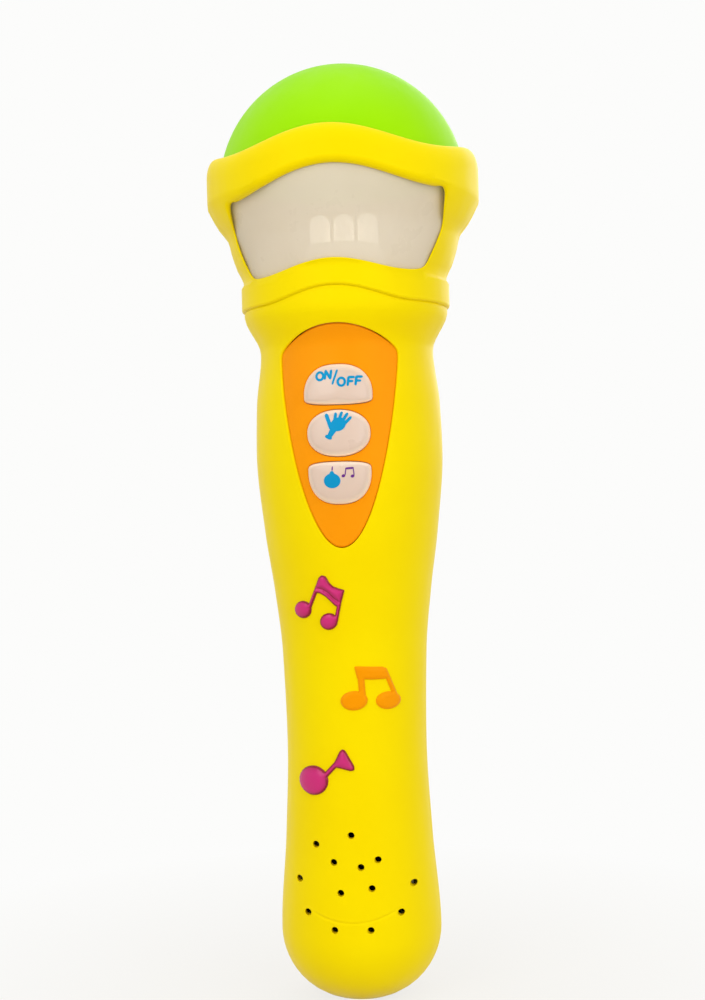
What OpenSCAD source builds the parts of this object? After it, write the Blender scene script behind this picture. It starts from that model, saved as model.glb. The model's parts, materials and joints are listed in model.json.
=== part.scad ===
/* [Body] */
// Radius of the round butt at its widest
butt_r = 19.8; // [19.4:0.1:20.4]
// Radius of the waist, where the battery door is
waist_r = 17.3; // [17.2:0.1:18]
// Radius of the grip bulge behind the buttons
grip_r = 23.1; // [22.8:0.1:23.6]
// Radius of the neck under the lower ring
neck_r = 21.4; // [21.2:0.1:21.8]
// Thickness of the casing wall
wall = 1.8; // [1.6:0.1:2]

/* [Head] */
// Outer radius of the upper ring
ring_r = 33.7; // [33.4:0.1:35]
// Outer radius of the lower ring
collar_ring_r = 25.8; // [25.6:0.1:26.4]
// Outer radius of the dome
dome_r = 30.6; // [30.2:0.1:30.7]
// Height of the dome's centre
dome_z = 199.4; // [199:0.1:199.8]
// Swing of the wave on the top edge of the upper ring
ring_top_wave = 1.9; // [0:0.1:2]
// Swing of the wave on the lower edge of the upper ring
ring_low_wave = 2.6; // [0:0.1:2.7]
// Swing of the wave on both edges of the lower ring
collar_wave = 1.7; // [0:0.1:2]

/* [Controls] */
// Height that the button caps stand above the casing surface
cap_proud = 1.5; // [0.8:0.1:2]
// Travel of a button
cap_travel = 1.2; // [0.5:0.1:1.4]
// Gap around a button cap in its opening
cap_gap = 0.25; // [0.15:0.05:0.3]
// Depth of the panel face below the casing surface
panel_sunk = 0.6; // [0.3:0.1:0.9]
// Height of the note relief above the casing surface
note_proud = 0.7; // [0.3:0.1:1]

/* [Battery box] */
// Diameter of a cell
cell_d = 14.3; // [13.8:0.1:14.4]
// Length of a cell with its button
cell_h = 50.5; // [50:0.1:50.5]
// Gap around the battery door
door_gap = 0.25; // [0.15:0.05:0.4]

/* [Speaker] */
// Diameter of the speaker
speaker_d = 27; // [26:0.5:27]
// Diameter of a sound hole
sound_hole_d = 1.6; // [1:0.1:2]

/* [Hidden] */
$fn = 64;
eps = 0.01;
// A length that reaches past the casing on every side
reach = 40;
// Gap between pieces that lie against each other
contact_gap = 0.05;
// Play of a screw in a clearance hole
screw_fit = 0.3;

yellow = [0.96, 0.86, 0.05];
green = [0.64, 0.93, 0.05];
orange = [0.99, 0.6, 0.06];
purple = [0.77, 0.2, 0.38];
cream = [0.92, 0.84, 0.76];
steel = [0.75, 0.76, 0.78];
black = [0.12, 0.12, 0.13];

// The casing's outline: heights of the widest butt, the waist, the grip, the neck and the collar
butt_z = 17;
waist_z = 62;
grip_z = 134;
neck_z = 159;
collar_z = 168.5;
collar_r = 25.2;
butt_arc = 17.3;
floor_t = 2;
butt_c = butt_r - butt_arc;

// Radius stations of the handle between the butt and the neck
stations = [
    [butt_z, butt_r],
    [40, waist_r + 0.36 * (butt_r - waist_r)],
    [waist_z, waist_r],
    [85, waist_r + 0.1 * (grip_r - waist_r)],
    [100, waist_r + 0.36 * (grip_r - waist_r)],
    [115, waist_r + 0.72 * (grip_r - waist_r)],
    [grip_z, grip_r],
    [146, neck_r + 0.8 * (grip_r - neck_r)],
    [neck_z, neck_r]];
last_station = len(stations) - 1;

function rise(i) = (stations[i + 1][1] - stations[i][1]) / (stations[i + 1][0] - stations[i][0]);
function slope(i) = i == 0 || i == last_station ? 0 : (rise(i - 1) + rise(i)) / 2;
function span_of(z, i = 0) = i == last_station - 1 || z <= stations[i + 1][0] ? i : span_of(z, i + 1);
function cubic(a, b, ma, mb, t) =
    a * (2 * t * t * t - 3 * t * t + 1) + ma * (t * t * t - 2 * t * t + t)
    + b * (3 * t * t - 2 * t * t * t) + mb * (t * t * t - t * t);
function handle_r(z, i) =
    let (h = stations[i + 1][0] - stations[i][0])
    cubic(stations[i][1], stations[i + 1][1], h * slope(i), h * slope(i + 1), (z - stations[i][0]) / h);
function body_r(z) =
    z < butt_z ? butt_c + sqrt(pow(butt_arc, 2) - pow(butt_z - z, 2))
    : z < neck_z ? handle_r(z, span_of(z))
    : z < collar_z ? cubic(neck_r, collar_r, 0, 0, (z - neck_z) / (collar_z - neck_z))
    : collar_r;
function inside_r(z) =
    z < butt_z ? butt_c + sqrt(pow(butt_arc - wall, 2) - pow(butt_z - z, 2)) : body_r(z) - wall;

body_steps = [for (z = [0:1.7:15.3]) z, butt_z, for (z = [18.3:3.5:157]) z,
              for (z = [neck_z:2:167]) z, collar_z];
inside_steps = [for (z = body_steps) if (z > floor_t) z];

// The head: heights of the ring edges, the flare of the posts and the seats of the dome and the diffuser
head_foot_z = 176.5;
post_z = 187;
post_r = 28.7;
flare_z = 195.5;
// Points of the outline between them, each [radius, height]
post_curve = [[26.7, 180], [28, 184]];
flare_curve = [[31.2, 190.5], [33.1, 194]];
ring_top_z = 207;
ring_low_z = 198;
collar_ring_top_z = 177.3;
collar_ring_low_z = 171.1;
ring_crown_z = 204;
ring_crown_r = 31.5;
ring_end_z = 210;
ledge_r = 21.5;
ledge_z = 170.5;
ledge_top_z = 172;
post_wall = 1.45;
collar_wall = 1.7;
collar_bite = 0.8;
collar_spare = 3;
above_z = 220;
seat_r = 31.35;
groove_low_z = 201.9;
groove_top_z = 203.6;
groove_r = 32.2;
dome_t = 1.7;
dome_fit = 0.25;
dome_play = 0.1;
dome_lip = 1;
diffuser_t = 1.4;
diffuser_fit = 0.15;
diffuser_low_z = ledge_top_z + 1.5;
diffuser_top_z = 201.5;
boss_top_z = ledge_top_z - 0.4;
lamp_z = 185.6;
lamp_pitch = 6;
lamp_foot_r = collar_r - 1.9;
lamp_foot_low_z = ledge_top_z + 0.1;
lamp_foot_top_z = ledge_top_z + 1.3;
lamp_post_low_r = 12;
lamp_post_r = 9.6;
lamp_edge = 1;
led_d = 5;
led_h = 8.4;
led_sunk = 2.9;
led_fit = 0.1;
led_hole_sunk = 3;

// A wave with four crests around the axis; past the share "most" of the radius its height stays
function wave(x, r, mid, swing, most) =
    let (s = min(abs(x) / r, most))
    mid + swing * (1 - 8 * s * s + 8 * pow(s, 4));
wave_steps = 32;
collar_most = sin(45);
function wave_row(half, r, mid, swing, most) =
    [for (i = [0:wave_steps]) let (x = -half + 2 * half * i / wave_steps) [x, wave(x, r, mid, swing, most)]];
function backwards(row) = [for (i = [len(row) - 1:-1:0]) row[i]];

window_top_half = 25.2;
window_low_half = 20.5;
window_near_y = 8;

// The panel and the buttons, heights above the foot
panel_half = 14.3;
panel_shoulder_z = 158;
panel_top_z = 164;
panel_low_z = 110.9;
panel_t = 1.8;
panel_fit = 0.2;
panel_rim = 1.5;
panel_steps = 16;
panel_bulge = 1.5;
panel_near_y = 12;
panel_back_y = 10;
panel_depth = wall + 1.2;
panel_skin_low_z = 100;
panel_skin_top_z = 168.4;
rim_gap = 0.2;
rim_t = 1.2;
cap_flange = 0.45;
cap_flange_y = -16.6;
cap_flange_t = 1;
cap_steps = 48;
cap_spare = 5;
// Bends of a cap outline: the round edge, the sides and the flat edge; then its share below the middle
cap_round = 0.92;
cap_side = 0.8;
cap_flat = 0.45;
cap_low = 0.24;
power_cap = [8.15, 9.6, 144.9];
applause_cap = [7.5, 11, 132.7];
music_cap = [7.5, 10, 121.5];

// The notes: prisms that reach through the casing wall, so that every stroke fuses with its neighbours
note_near = 13;
note_far = 30;
note_span = 12;
note_upper_at = [-5.3, 100];
note_middle_at = [5, 78];
note_lower_at = [-4.4, 58];
note_foot = 0.2;

// The board and what is on it
board_half = 12;
board_low_z = 111.5;
board_top_z = 169;
board_y = -12.1;
board_t = 1.2;
pad_t = 0.8;
pad_half = 9;
pad_low_z = 121;
pad_top_z = 155;
key_z = [126.5, 138.2, 149.5];
key_d = 7;
key_h = 1;
chip_z = 138;
chip_r = 6.8;
chip_sunk = 4.6;
board_screw_at = [[-9.5, 114.5], [9.5, 114.5], [-9.5, 166.8], [9.5, 166.8]];
board_boss_d = 5;
board_tip = 3.6;
small_screw_d = 1.8;
small_head_d = 3.6;
small_head_t = 1.3;
tip_room = 0.4;
// A screw's cross slot, as shares of its head
cross_span = 0.62;
cross_depth = 0.8;
cross_width = 0.35;

// The screws that close the casing, all from the rear
shell_screw_at = [[0, 8], [-15.5, 122], [15.5, 122], [-15.5, 163.5], [15.5, 163.5]];
shell_boss_d = 5.5;
shell_rear_boss_d = 7.3;
shell_screw_d = 2.2;
shell_thread_play = 0.02;
shell_head_d = 4.4;
shell_head_t = 1.6;
shell_well_d = 4.8;
shell_seat_y = 6;
shell_tip_y = -6;

// The speaker
speaker_z = 31;
speaker_y = -9.2;
speaker_rim_t = 0.8;
basket_r = 11.8;
basket_low_r = 7;
basket_h = 4.9;
basket_t = 0.6;
basket_end_y = speaker_rim_t + basket_h;
// The cone's profile, each [radius, depth], front skin outwards and rear skin back
cone_edge_r = basket_r - 0.8;
cone_profile = [[0, 1.4], [3.5, 2.4], [9, 0.5], [10.3, -0.2], [cone_edge_r, 0.1],
                [cone_edge_r, 0.5], [10.3, 0.3], [9.2, 0.9], [3.6, 2.9], [0, 1.9]];
magnet_d = 13;
magnet_h = 4;
speaker_seat_d = speaker_d + 0.6;
speaker_bore_d = speaker_d - 2.6;
speaker_tip = 3;
retainer_d = speaker_d + 1;
retainer_bore_d = 2 * basket_r + 0.8;
retainer_t = 1.2;
retainer_y = speaker_y + speaker_rim_t + contact_gap;
retainer_end_y = speaker_y + speaker_rim_t + retainer_t;
retainer_cut = 4;
ear_off = 16.5;
ear_r = 3;
ear_boss_d = 5;
sound_near_y = -8.5;
// Sound holes, each [x, height], spread by hand as a loose flower
sound_holes = [[0, 42.7], [-8.7, 40.2], [-4.3, 36.3], [6.2, 36.8], [2.2, 35.2], [-13.2, 31.4], [14.2, 30.2],
               [-2.7, 29.2], [4.7, 30.2], [-11, 24], [11.3, 24], [-4.3, 20.5], [4.3, 20.5]];

// The battery box and its door
tray_low_z = 50.5;
tray_t = 1.5;
tray_in_z = tray_low_z + tray_t;
tray_end_z = 108.5;
tray_top_z = tray_end_z + tray_t;
tray_floor_y = -6.4;
tray_floor_t = 1;
tray_floor_half = 11.5;
tray_low_y = 10.8;
tray_overlap = 1;
plate_t = 0.4;
plate_half = 5;
plate_deep = 9;
plate_back_y = 4;
bridge_half = 12;
cell_x = 7.4;
cell_y = 2;
cell_nub_d = 5.5;
cell_nub_h = 1;

// A cone spring as one wire: its radius grows towards the plate
spring_h = tray_end_z - tray_in_z - 2 * plate_t - cell_h;
spring_wire = 0.7;
spring_turns = 3.5;
spring_wide = 4.6;
spring_slim = 2.6;
spring_rings = 8;
spring_sides = 6;
spring_room = 0.1;
spring_points = [for (i = [0:spring_turns * spring_rings])
    let (t = i / (spring_turns * spring_rings), a = 360 * i / spring_rings,
         r = spring_wide + (spring_slim - spring_wide) * t)
    [r * cos(a), r * sin(a), spring_wire / 2 + (spring_h - spring_wire - spring_room) * t]];

door_half = 14.6;
door_low_z = 50.5;
door_wide_z = 110.5;
door_tongue_half = 5;
door_tongue_z = 114;
door_t = 1.8;
door_screw_z = 114.2;
door_boss_d = 6.5;
door_screw_d = 2.2;
door_head_d = 4.4;
door_head_t = 1.4;
door_hole_d = 3.2;
door_seat = 1;
door_tip_y = 11;
door_hole_y = 9;
door_near_y = 3;
door_boss_y = 4;
door_boss_gap = 0.3;
door_rib_w = 2;
door_rib_l = 9;
door_cut_over = 2;
door_cut_in = 0.2;
door_cut_spare = 9;
door_swing_room = 0.8;
// The two tabs at the door's lower edge hook behind the casing wall
tab_x = 6;
tab_w = 4;
tab_y = 12;
tab_t = 1.5;
tab_drop = 2.4;
tab_h = 5.4;
tab_root_up = 0.4;
tab_root_h = 2.6;
tab_root_t = 3.4;

// Wires inside the casing, routes chosen by hand
wire_r = 0.5;
wire_sides = 8;
speaker_route = [[4.2, -10.3, 114], [4.2, -9.4, 112], [4.2, -9.2, 108], [4.2, -9.2, 80], [4.2, -9.2, 56],
                 [4.2, -8.6, 51], [4.2, -6.6, 47.5], [4.2, -5.7, 44], [4.2, -5.4, 41]];
battery_route = [[7.4, -2, 110.6], [7.4, -3, 112], [7.2, -6, 113.8], [7, -9, 114.6], [7, -10.3, 114.8]];
lamp_route = [[3, -4, 171.5], [3, -4.6, 169], [3, -7, 165.5], [3, -9.4, 164], [3, -10.3, 163.8]];

// Shapes that several pieces use

module front_prism(near, far) {
    translate([0, -near, 0])
        rotate([90, 0, 0])
            linear_extrude(far - near)
                children();
}

module rear_prism(near, far) {
    mirror([0, 1, 0])
        front_prism(near, far)
            children();
}

// A rod along Y with its far end at y1
module rod(x, z, d, y0, y1) {
    translate([x, y0, z])
        rotate([-90, 0, 0])
            cylinder(d = d, h = y1 - y0);
}

// A solid of the handle's outline, sunk below the casing surface by a depth
module core(sunk, low, top) {
    steps = [low, for (z = body_steps) if (z > low && z < top) z, top];
    rotate_extrude()
        polygon(concat([[0, low]], [for (z = steps) [body_r(z) - sunk, z]], [[0, top]]));
}

module skin(sunk, depth, low, top) {
    steps = [low, for (z = body_steps) if (z > low && z < top) z, top];
    rotate_extrude()
        polygon(concat([for (z = steps) [body_r(z) - sunk, z]],
                       backwards([for (z = steps) [body_r(z) - depth, z]])));
}

// One half of the casing, rear side: handle and head in one wall
module half_wall() {
    outline = concat(
        [[0, 0]],
        [for (z = body_steps) [body_r(z), z]],
        [[collar_r, head_foot_z]], post_curve, [[post_r, post_z]], flare_curve,
        [[ring_r, flare_z], [ring_r, ring_crown_z],
         [ring_crown_r, ring_end_z], [dome_r + dome_fit, ring_end_z], [dome_r + dome_fit, groove_top_z],
         [groove_r, groove_top_z], [groove_r, groove_low_z], [seat_r, groove_low_z], [seat_r, flare_z],
         [post_r - post_wall, post_z], [collar_r - post_wall, head_foot_z],
         [collar_r - collar_wall, ledge_top_z],
         [ledge_r, ledge_top_z], [ledge_r, ledge_z], [collar_r - wall, ledge_z]],
        backwards([for (z = inside_steps) [inside_r(z), z]]),
        [[inside_r(floor_t), floor_t], [0, floor_t]]);
    difference() {
        rotate_extrude(angle = 180)
            polygon(outline);
        rear_prism(eps, reach)
            polygon(concat(wave_row(reach, ring_r, ring_top_z, ring_top_wave, 1),
                           [[reach, above_z], [-reach, above_z]]));
    }
}

module collar_ring() {
    half = collar_ring_r + collar_spare;
    intersection() {
        rotate_extrude(angle = 180)
            translate([collar_r - collar_bite, collar_ring_low_z - collar_spare])
                square([collar_ring_r - collar_r + collar_bite,
                        collar_ring_top_z - collar_ring_low_z + 2 * collar_spare]);
        rear_prism(0, reach)
            polygon(concat(
                wave_row(half, collar_ring_r, collar_ring_low_z, collar_wave, collar_most),
                backwards(wave_row(half, collar_ring_r, collar_ring_top_z, collar_wave, collar_most))));
    }
}

module window_cut() {
    rear_prism(window_near_y, reach)
        polygon(concat(
            backwards(wave_row(window_top_half, ring_r, ring_low_z, ring_low_wave, 1)),
            wave_row(window_low_half, collar_ring_r, collar_ring_top_z, collar_wave, collar_most)));
}

module casing_half() {
    difference() {
        union() {
            half_wall();
            collar_ring();
        }
        window_cut();
    }
}

// Outlines on the front, seen from the front

function panel_half_at(z, grow) =
    let (share = (panel_shoulder_z - z) / (panel_shoulder_z - panel_low_z + grow))
    (panel_half + grow) * sqrt(1 - pow(share, panel_bulge));
function panel_side(grow) =
    [for (i = [0:panel_steps])
        let (z = panel_low_z - grow + (panel_shoulder_z - panel_low_z + grow) * pow(i / panel_steps, 2))
        [panel_half_at(z, grow), z]];
function panel_arch(grow) =
    let (half = panel_half + grow, rise = panel_top_z + grow - panel_shoulder_z,
         r = (half * half + rise * rise) / (2 * rise))
    [for (i = [1:panel_steps - 1])
        let (x = half - 2 * half * i / panel_steps)
        [x, panel_top_z + grow - r + sqrt(r * r - x * x)]];

module panel_shape(grow) {
    side = panel_side(grow);
    polygon(concat(side, panel_arch(grow), backwards([for (p = side) [-p[0], p[1]]])));
}

// A cap outline from its half width, height and foot; the flat side is below, above or nowhere
module cap_shape(cap, flat, grow) {
    half = cap[0] + grow;
    tall = cap[1] + 2 * grow;
    foot = cap[2] - grow;
    squat = flat == 0 ? 0.5 : cap_low;
    polygon([for (i = [0:cap_steps - 1])
        let (a = 360 * i / cap_steps,
             power = flat == 0 ? cap_round : cap_side,
             x = half * sign(cos(a)) * pow(abs(cos(a)), power),
             up = sin(a) >= 0,
             reach = up ? 1 - squat : squat,
             bend = up || flat == 0 ? cap_round : cap_flat,
             z = sign(sin(a)) * pow(abs(sin(a)), bend) * reach,
             level = flat < 0 ? 1 - squat - z : squat + z)
        [x, foot + tall * level]]);
}

module cap(size, flat) {
    intersection() {
        front_prism(-cap_flange_y - eps, reach)
            cap_shape(size, flat, 0);
        core(-cap_proud, size[2] - cap_spare, size[2] + size[1] + cap_spare);
    }
    front_prism(-cap_flange_y - cap_flange_t, -cap_flange_y)
        cap_shape(size, flat, cap_flange);
}

// A stroke of a note between two points, with a width at each end
module stroke(at, a, b, wa, wb) {
    dir = (b - a) / norm(b - a);
    side = [-dir[1], dir[0]];
    front_prism(note_near, note_far)
        translate(at)
            polygon([a - side * wa / 2, b - side * wb / 2, b + side * wb / 2, a + side * wa / 2]);
}

module note_head(at, mid, half_w, half_h, tilt) {
    front_prism(note_near, note_far)
        translate(at + mid)
            rotate(tilt)
                polygon([for (a = [0:15:345]) [half_w * cos(a), half_h * sin(a)]]);
}

module note_flag(at, points) {
    front_prism(note_near, note_far)
        translate(at)
            polygon(points);
}

module note_upper_shape() {
    note_head(note_upper_at, [-5, -3.5], 2.2, 2, 20);
    note_head(note_upper_at, [1.4, -6.3], 2.2, 2, 20);
    stroke(note_upper_at, [-3.6, -3.6], [-0.7, 4.3], 1.1, 1.1);
    stroke(note_upper_at, [2.9, -6.2], [4.9, 1], 1.1, 1.1);
    note_flag(note_upper_at,
              [[-1.7, 1.6], [0.9, 1.2], [2.6, 0], [5, -1.8], [5.6, 2], [2.4, 3.3], [0.7, 5.1], [-1, 4.9]]);
}

module note_middle_shape() {
    note_head(note_middle_at, [-3.6, -3.4], 3, 2.1, 6);
    note_head(note_middle_at, [4.3, -3.7], 2.7, 2, -6);
    stroke(note_middle_at, [-1.3, -3], [-2, 4.4], 1.1, 1.1);
    stroke(note_middle_at, [6.2, -3.2], [3.5, 4.2], 1.1, 1.1);
    note_flag(note_middle_at, [[-2, 1.9], [4.6, 1.8], [3.4, 4.9], [-3.2, 5.1]]);
}

module note_lower_shape() {
    note_head(note_lower_at, [-4.6, -2.6], 3.7, 3.3, 20);
    stroke(note_lower_at, [-2.6, -1.8], [1.8, 3], 1.6, 1.3);
    note_flag(note_lower_at, [[0.3, 1.6], [4.9, 0.6], [5.7, 1.5], [3.6, 4.6], [2.5, 5.3]]);
}

// A fastener along Y with its head towards the rear
module screw(x, z, d, head_d, head_t, seat_y, tip_y) {
    difference() {
        union() {
            rod(x, z, head_d, seat_y, seat_y + head_t);
            rod(x, z, d, tip_y, seat_y + eps);
        }
        for (turn = [0, 90])
            translate([x, seat_y + head_t, z])
                rotate([0, turn, 0])
                    cube([head_d * cross_span, head_t * cross_depth, head_t * cross_width], center = true);
    }
}

// A tube along hand chosen points, one closed skin
module tube(points, r, sides) {
    n = len(points);
    dirs = [for (i = [0:n - 1])
        let (d = points[min(i + 1, n - 1)] - points[max(i - 1, 0)])
        d / norm(d)];
    ring = [for (i = [0:n - 1])
        let (hint = abs(dirs[i][0]) < 0.9 ? [1, 0, 0] : [0, 1, 0],
             u = cross(dirs[i], hint) / norm(cross(dirs[i], hint)),
             v = cross(dirs[i], u))
        for (k = [0:sides - 1])
            points[i] + r * (cos(360 * k / sides) * u + sin(360 * k / sides) * v)];
    walls = [for (i = [0:n - 2]) for (k = [0:sides - 1])
        let (a = i * sides + k, b = i * sides + (k + 1) % sides)
        each [[a, b, b + sides], [a, b + sides, a + sides]]];
    caps = [for (k = [1:sides - 2])
        each [[0, k + 1, k], [(n - 1) * sides, (n - 1) * sides + k, (n - 1) * sides + k + 1]]];
    polyhedron(ring, concat(walls, caps), convexity = 8);
}

// Casing

module front_shell() {
    color(yellow)
    difference() {
        union() {
            mirror([0, 1, 0])
                casing_half();
            front_bosses();
        }
        front_prism(panel_near_y, reach)
            panel_shape(0);
        note_upper_shape();
        note_middle_shape();
        note_lower_shape();
        for (h = sound_holes)
            rod(h[0], h[1], sound_hole_d, -reach, sound_near_y);
    }
}

module front_bosses() {
    intersection() {
        union() {
            difference() {
                for (p = shell_screw_at)
                    rod(p[0], p[1], shell_boss_d, -reach, -eps);
                for (p = shell_screw_at)
                    rod(p[0], p[1], shell_screw_d, shell_tip_y - tip_room, reach);
            }
            difference() {
                for (p = board_screw_at)
                    rod(p[0], p[1], board_boss_d, -reach, board_y);
                for (p = board_screw_at)
                    rod(p[0], p[1], small_screw_d, board_y - board_tip - tip_room, reach);
            }
            difference() {
                union() {
                    rod(0, speaker_z, speaker_seat_d, -reach, speaker_y);
                    for (s = [-1, 1])
                        rod(0, speaker_z + s * ear_off, ear_boss_d, -reach, speaker_y + speaker_rim_t);
                }
                rod(0, speaker_z, speaker_bore_d, -reach - 1, reach);
                for (s = [-1, 1])
                    rod(0, speaker_z + s * ear_off, small_screw_d, speaker_y - speaker_tip - tip_room, reach);
            }
        }
        core(wall / 2, floor_t / 2, boss_top_z);
    }
}

module rear_shell() {
    color(yellow)
    difference() {
        union() {
            casing_half();
            rear_bosses();
            battery_tray();
        }
        for (p = shell_screw_at) {
            rod(p[0], p[1], shell_screw_d + screw_fit, -1, shell_seat_y + 1);
            rod(p[0], p[1], shell_well_d, shell_seat_y, reach);
        }
        door_cut();
        rod(0, door_screw_z, door_hole_d, door_hole_y, reach);
    }
}

module rear_bosses() {
    intersection() {
        for (p = shell_screw_at)
            rod(p[0], p[1], shell_rear_boss_d, eps, reach);
        core(wall / 2, floor_t / 2, boss_top_z);
    }
}

module battery_tray() {
    for (z = [tray_low_z, tray_end_z]) {
        intersection() {
            translate([-reach, 0, z])
                cube([2 * reach, z == tray_low_z ? tray_low_y : reach, tray_t]);
            core(wall / 2, z - 1, z + tray_t + 1);
        }
        translate([-tray_floor_half, tray_floor_y, z])
            cube([2 * tray_floor_half, -tray_floor_y + tray_overlap, tray_t]);
    }
    translate([-tray_floor_half, tray_floor_y, tray_low_z])
        cube([2 * tray_floor_half, tray_floor_t, tray_top_z - tray_low_z]);
    rod(0, door_screw_z, door_boss_d, door_boss_y, body_r(door_screw_z) - door_t - door_boss_gap);
    translate([-door_rib_w / 2, door_boss_y, tray_end_z])
        cube([door_rib_w, door_rib_l, door_screw_z - tray_end_z]);
}

// The door's outline from behind: a wide field with a round tongue above it for the screw
module door_shape(grow) {
    half = door_half + grow;
    translate([-half, door_low_z - grow])
        square([2 * half, door_wide_z - door_low_z + 2 * grow]);
    translate([0, door_tongue_z])
        circle(r = door_tongue_half + grow);
    translate([-door_tongue_half - grow, door_wide_z - 1])
        square([2 * (door_tongue_half + grow), door_tongue_z - door_wide_z + 1]);
}

module door_cut() {
    intersection() {
        rear_prism(door_near_y, reach)
            door_shape(door_gap);
        skin(-door_cut_over, wall + door_cut_in, door_low_z - 3, door_tongue_z + door_cut_spare);
    }
    // Room above the wide field for its inner edge as the door tilts out
    rear_prism(door_hole_y, reach)
        translate([-door_half - door_gap, door_wide_z])
            square([2 * (door_half + door_gap), door_swing_room]);
}

// Head

module dome_cap() {
    color(green)
    rotate_extrude() {
        intersection() {
            difference() {
                translate([0, dome_z])
                    circle(r = dome_r, $fn = 128);
                translate([0, dome_z])
                    circle(r = dome_r - dome_t, $fn = 128);
            }
            translate([0, groove_low_z + dome_play])
                square(reach);
        }
        translate([dome_r - dome_lip, groove_low_z + dome_play])
            square([groove_r - dome_r + dome_lip - 2 * dome_play,
                    groove_top_z - groove_low_z - 2 * dome_play]);
    }
}

module light_diffuser() {
    outer = [[collar_r - collar_wall, diffuser_low_z], [collar_r - post_wall, head_foot_z],
             [post_r - post_wall, post_z], [seat_r, flare_z], [seat_r, diffuser_top_z]];
    color(cream)
    rotate_extrude()
        polygon(concat([for (p = outer) [p[0] - diffuser_fit, p[1]]],
                       backwards([for (p = outer) [p[0] - diffuser_fit - diffuser_t, p[1]]])));
}

module lamp_plate() {
    color("white")
    difference() {
        rotate_extrude()
            polygon([[0, lamp_foot_low_z], [lamp_foot_r, lamp_foot_low_z], [lamp_foot_r, lamp_foot_top_z],
                     [lamp_post_low_r, lamp_foot_top_z], [lamp_post_r, lamp_z - lamp_edge],
                     [lamp_post_r - lamp_edge, lamp_z], [0, lamp_z]]);
        for (x = [-lamp_pitch, 0, lamp_pitch])
            translate([x, 0, lamp_z - led_hole_sunk])
                cylinder(d = led_d + led_fit, h = 2 * led_hole_sunk);
    }
}

module leds() {
    color([0.95, 0.95, 0.9])
    for (x = [-lamp_pitch, 0, lamp_pitch])
        translate([x, 0, lamp_z - led_sunk]) {
            cylinder(d = led_d, h = led_h);
            translate([0, 0, led_h])
                sphere(d = led_d);
        }
}

// Controls

module control_panel() {
    color(orange)
    difference() {
        union() {
            intersection() {
                front_prism(panel_back_y, reach)
                    panel_shape(-panel_fit);
                skin(panel_sunk, panel_depth, panel_skin_low_z, panel_skin_top_z);
            }
            intersection() {
                front_prism(panel_back_y, reach)
                    panel_shape(panel_rim);
                skin(wall + rim_gap, wall + rim_gap + rim_t, panel_skin_low_z, panel_skin_top_z);
            }
        }
        front_prism(panel_back_y - 1, reach + 1) {
            cap_shape(power_cap, 1, cap_gap);
            cap_shape(applause_cap, 0, cap_gap);
            cap_shape(music_cap, -1, cap_gap);
        }
    }
}

module button_power() {
    color(cream) cap(power_cap, 1);
}

module button_applause() {
    color(cream) cap(applause_cap, 0);
}

module button_music() {
    color(cream) cap(music_cap, -1);
}

module note(at) {
    intersection() {
        children();
        skin(-note_proud, wall - note_foot, at[1] - note_span, at[1] + note_span);
    }
}

module note_upper() {
    color(purple) note(note_upper_at) note_upper_shape();
}

module note_middle() {
    color(orange) note(note_middle_at) note_middle_shape();
}

module note_lower() {
    color(purple) note(note_lower_at) note_lower_shape();
}

module key_pad() {
    color([0.55, 0.55, 0.55]) {
        translate([-pad_half, board_y - pad_t, pad_low_z])
            cube([2 * pad_half, pad_t, pad_top_z - pad_low_z]);
        for (z = key_z)
            rod(0, z, key_d, board_y - pad_t - key_h, board_y - pad_t + eps);
    }
}

module circuit_board() {
    color([0.1, 0.4, 0.2])
    difference() {
        translate([-board_half, board_y, board_low_z])
            cube([2 * board_half, board_t, board_top_z - board_low_z]);
        for (p = board_screw_at)
            rod(p[0], p[1], small_screw_d + screw_fit, board_y - 1, board_y + board_t + 1);
    }
}

module chip_blob() {
    color(black)
    intersection() {
        translate([0, board_y + board_t - chip_sunk, chip_z])
            sphere(r = chip_r);
        translate([-chip_r, board_y + board_t, chip_z - chip_r])
            cube(2 * chip_r);
    }
}

module board_screws() {
    color(steel)
    for (p = board_screw_at)
        screw(p[0], p[1], small_screw_d, small_head_d, small_head_t, board_y + board_t, board_y - board_tip);
}

// Speaker, all turned about the sound axis

module speaker_turn() {
    translate([0, speaker_y, speaker_z])
        rotate([-90, 0, 0])
            rotate_extrude()
                children();
}

module speaker_frame() {
    color(steel)
    speaker_turn()
        polygon([[basket_r - basket_t, 0], [speaker_d / 2, 0], [speaker_d / 2, speaker_rim_t],
                 [basket_r, speaker_rim_t], [basket_low_r, basket_end_y], [0, basket_end_y],
                 [0, basket_end_y - basket_t], [basket_low_r - basket_t / 2, basket_end_y - basket_t],
                 [basket_r - basket_t, speaker_rim_t]]);
}

module speaker_cone() {
    color(black)
    speaker_turn()
        polygon(cone_profile);
}

module speaker_magnet() {
    color(steel)
    rod(0, speaker_z, magnet_d, speaker_y + basket_end_y, speaker_y + basket_end_y + magnet_h);
}

module speaker_retainer() {
    color("white")
    difference() {
        union() {
            rod(0, speaker_z, retainer_d, retainer_y, retainer_end_y);
            for (s = [-1, 1])
                rod(0, speaker_z + s * ear_off, 2 * ear_r, retainer_y, retainer_end_y);
        }
        rod(0, speaker_z, retainer_bore_d, speaker_y, speaker_y + retainer_cut);
        for (s = [-1, 1])
            rod(0, speaker_z + s * ear_off, small_screw_d + screw_fit, speaker_y, speaker_y + retainer_cut);
    }
}

module speaker_screws() {
    color(steel)
    for (s = [-1, 1])
        screw(0, speaker_z + s * ear_off, small_screw_d, small_head_d, small_head_t, retainer_end_y,
              speaker_y - speaker_tip);
}

// Batteries and contacts

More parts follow.
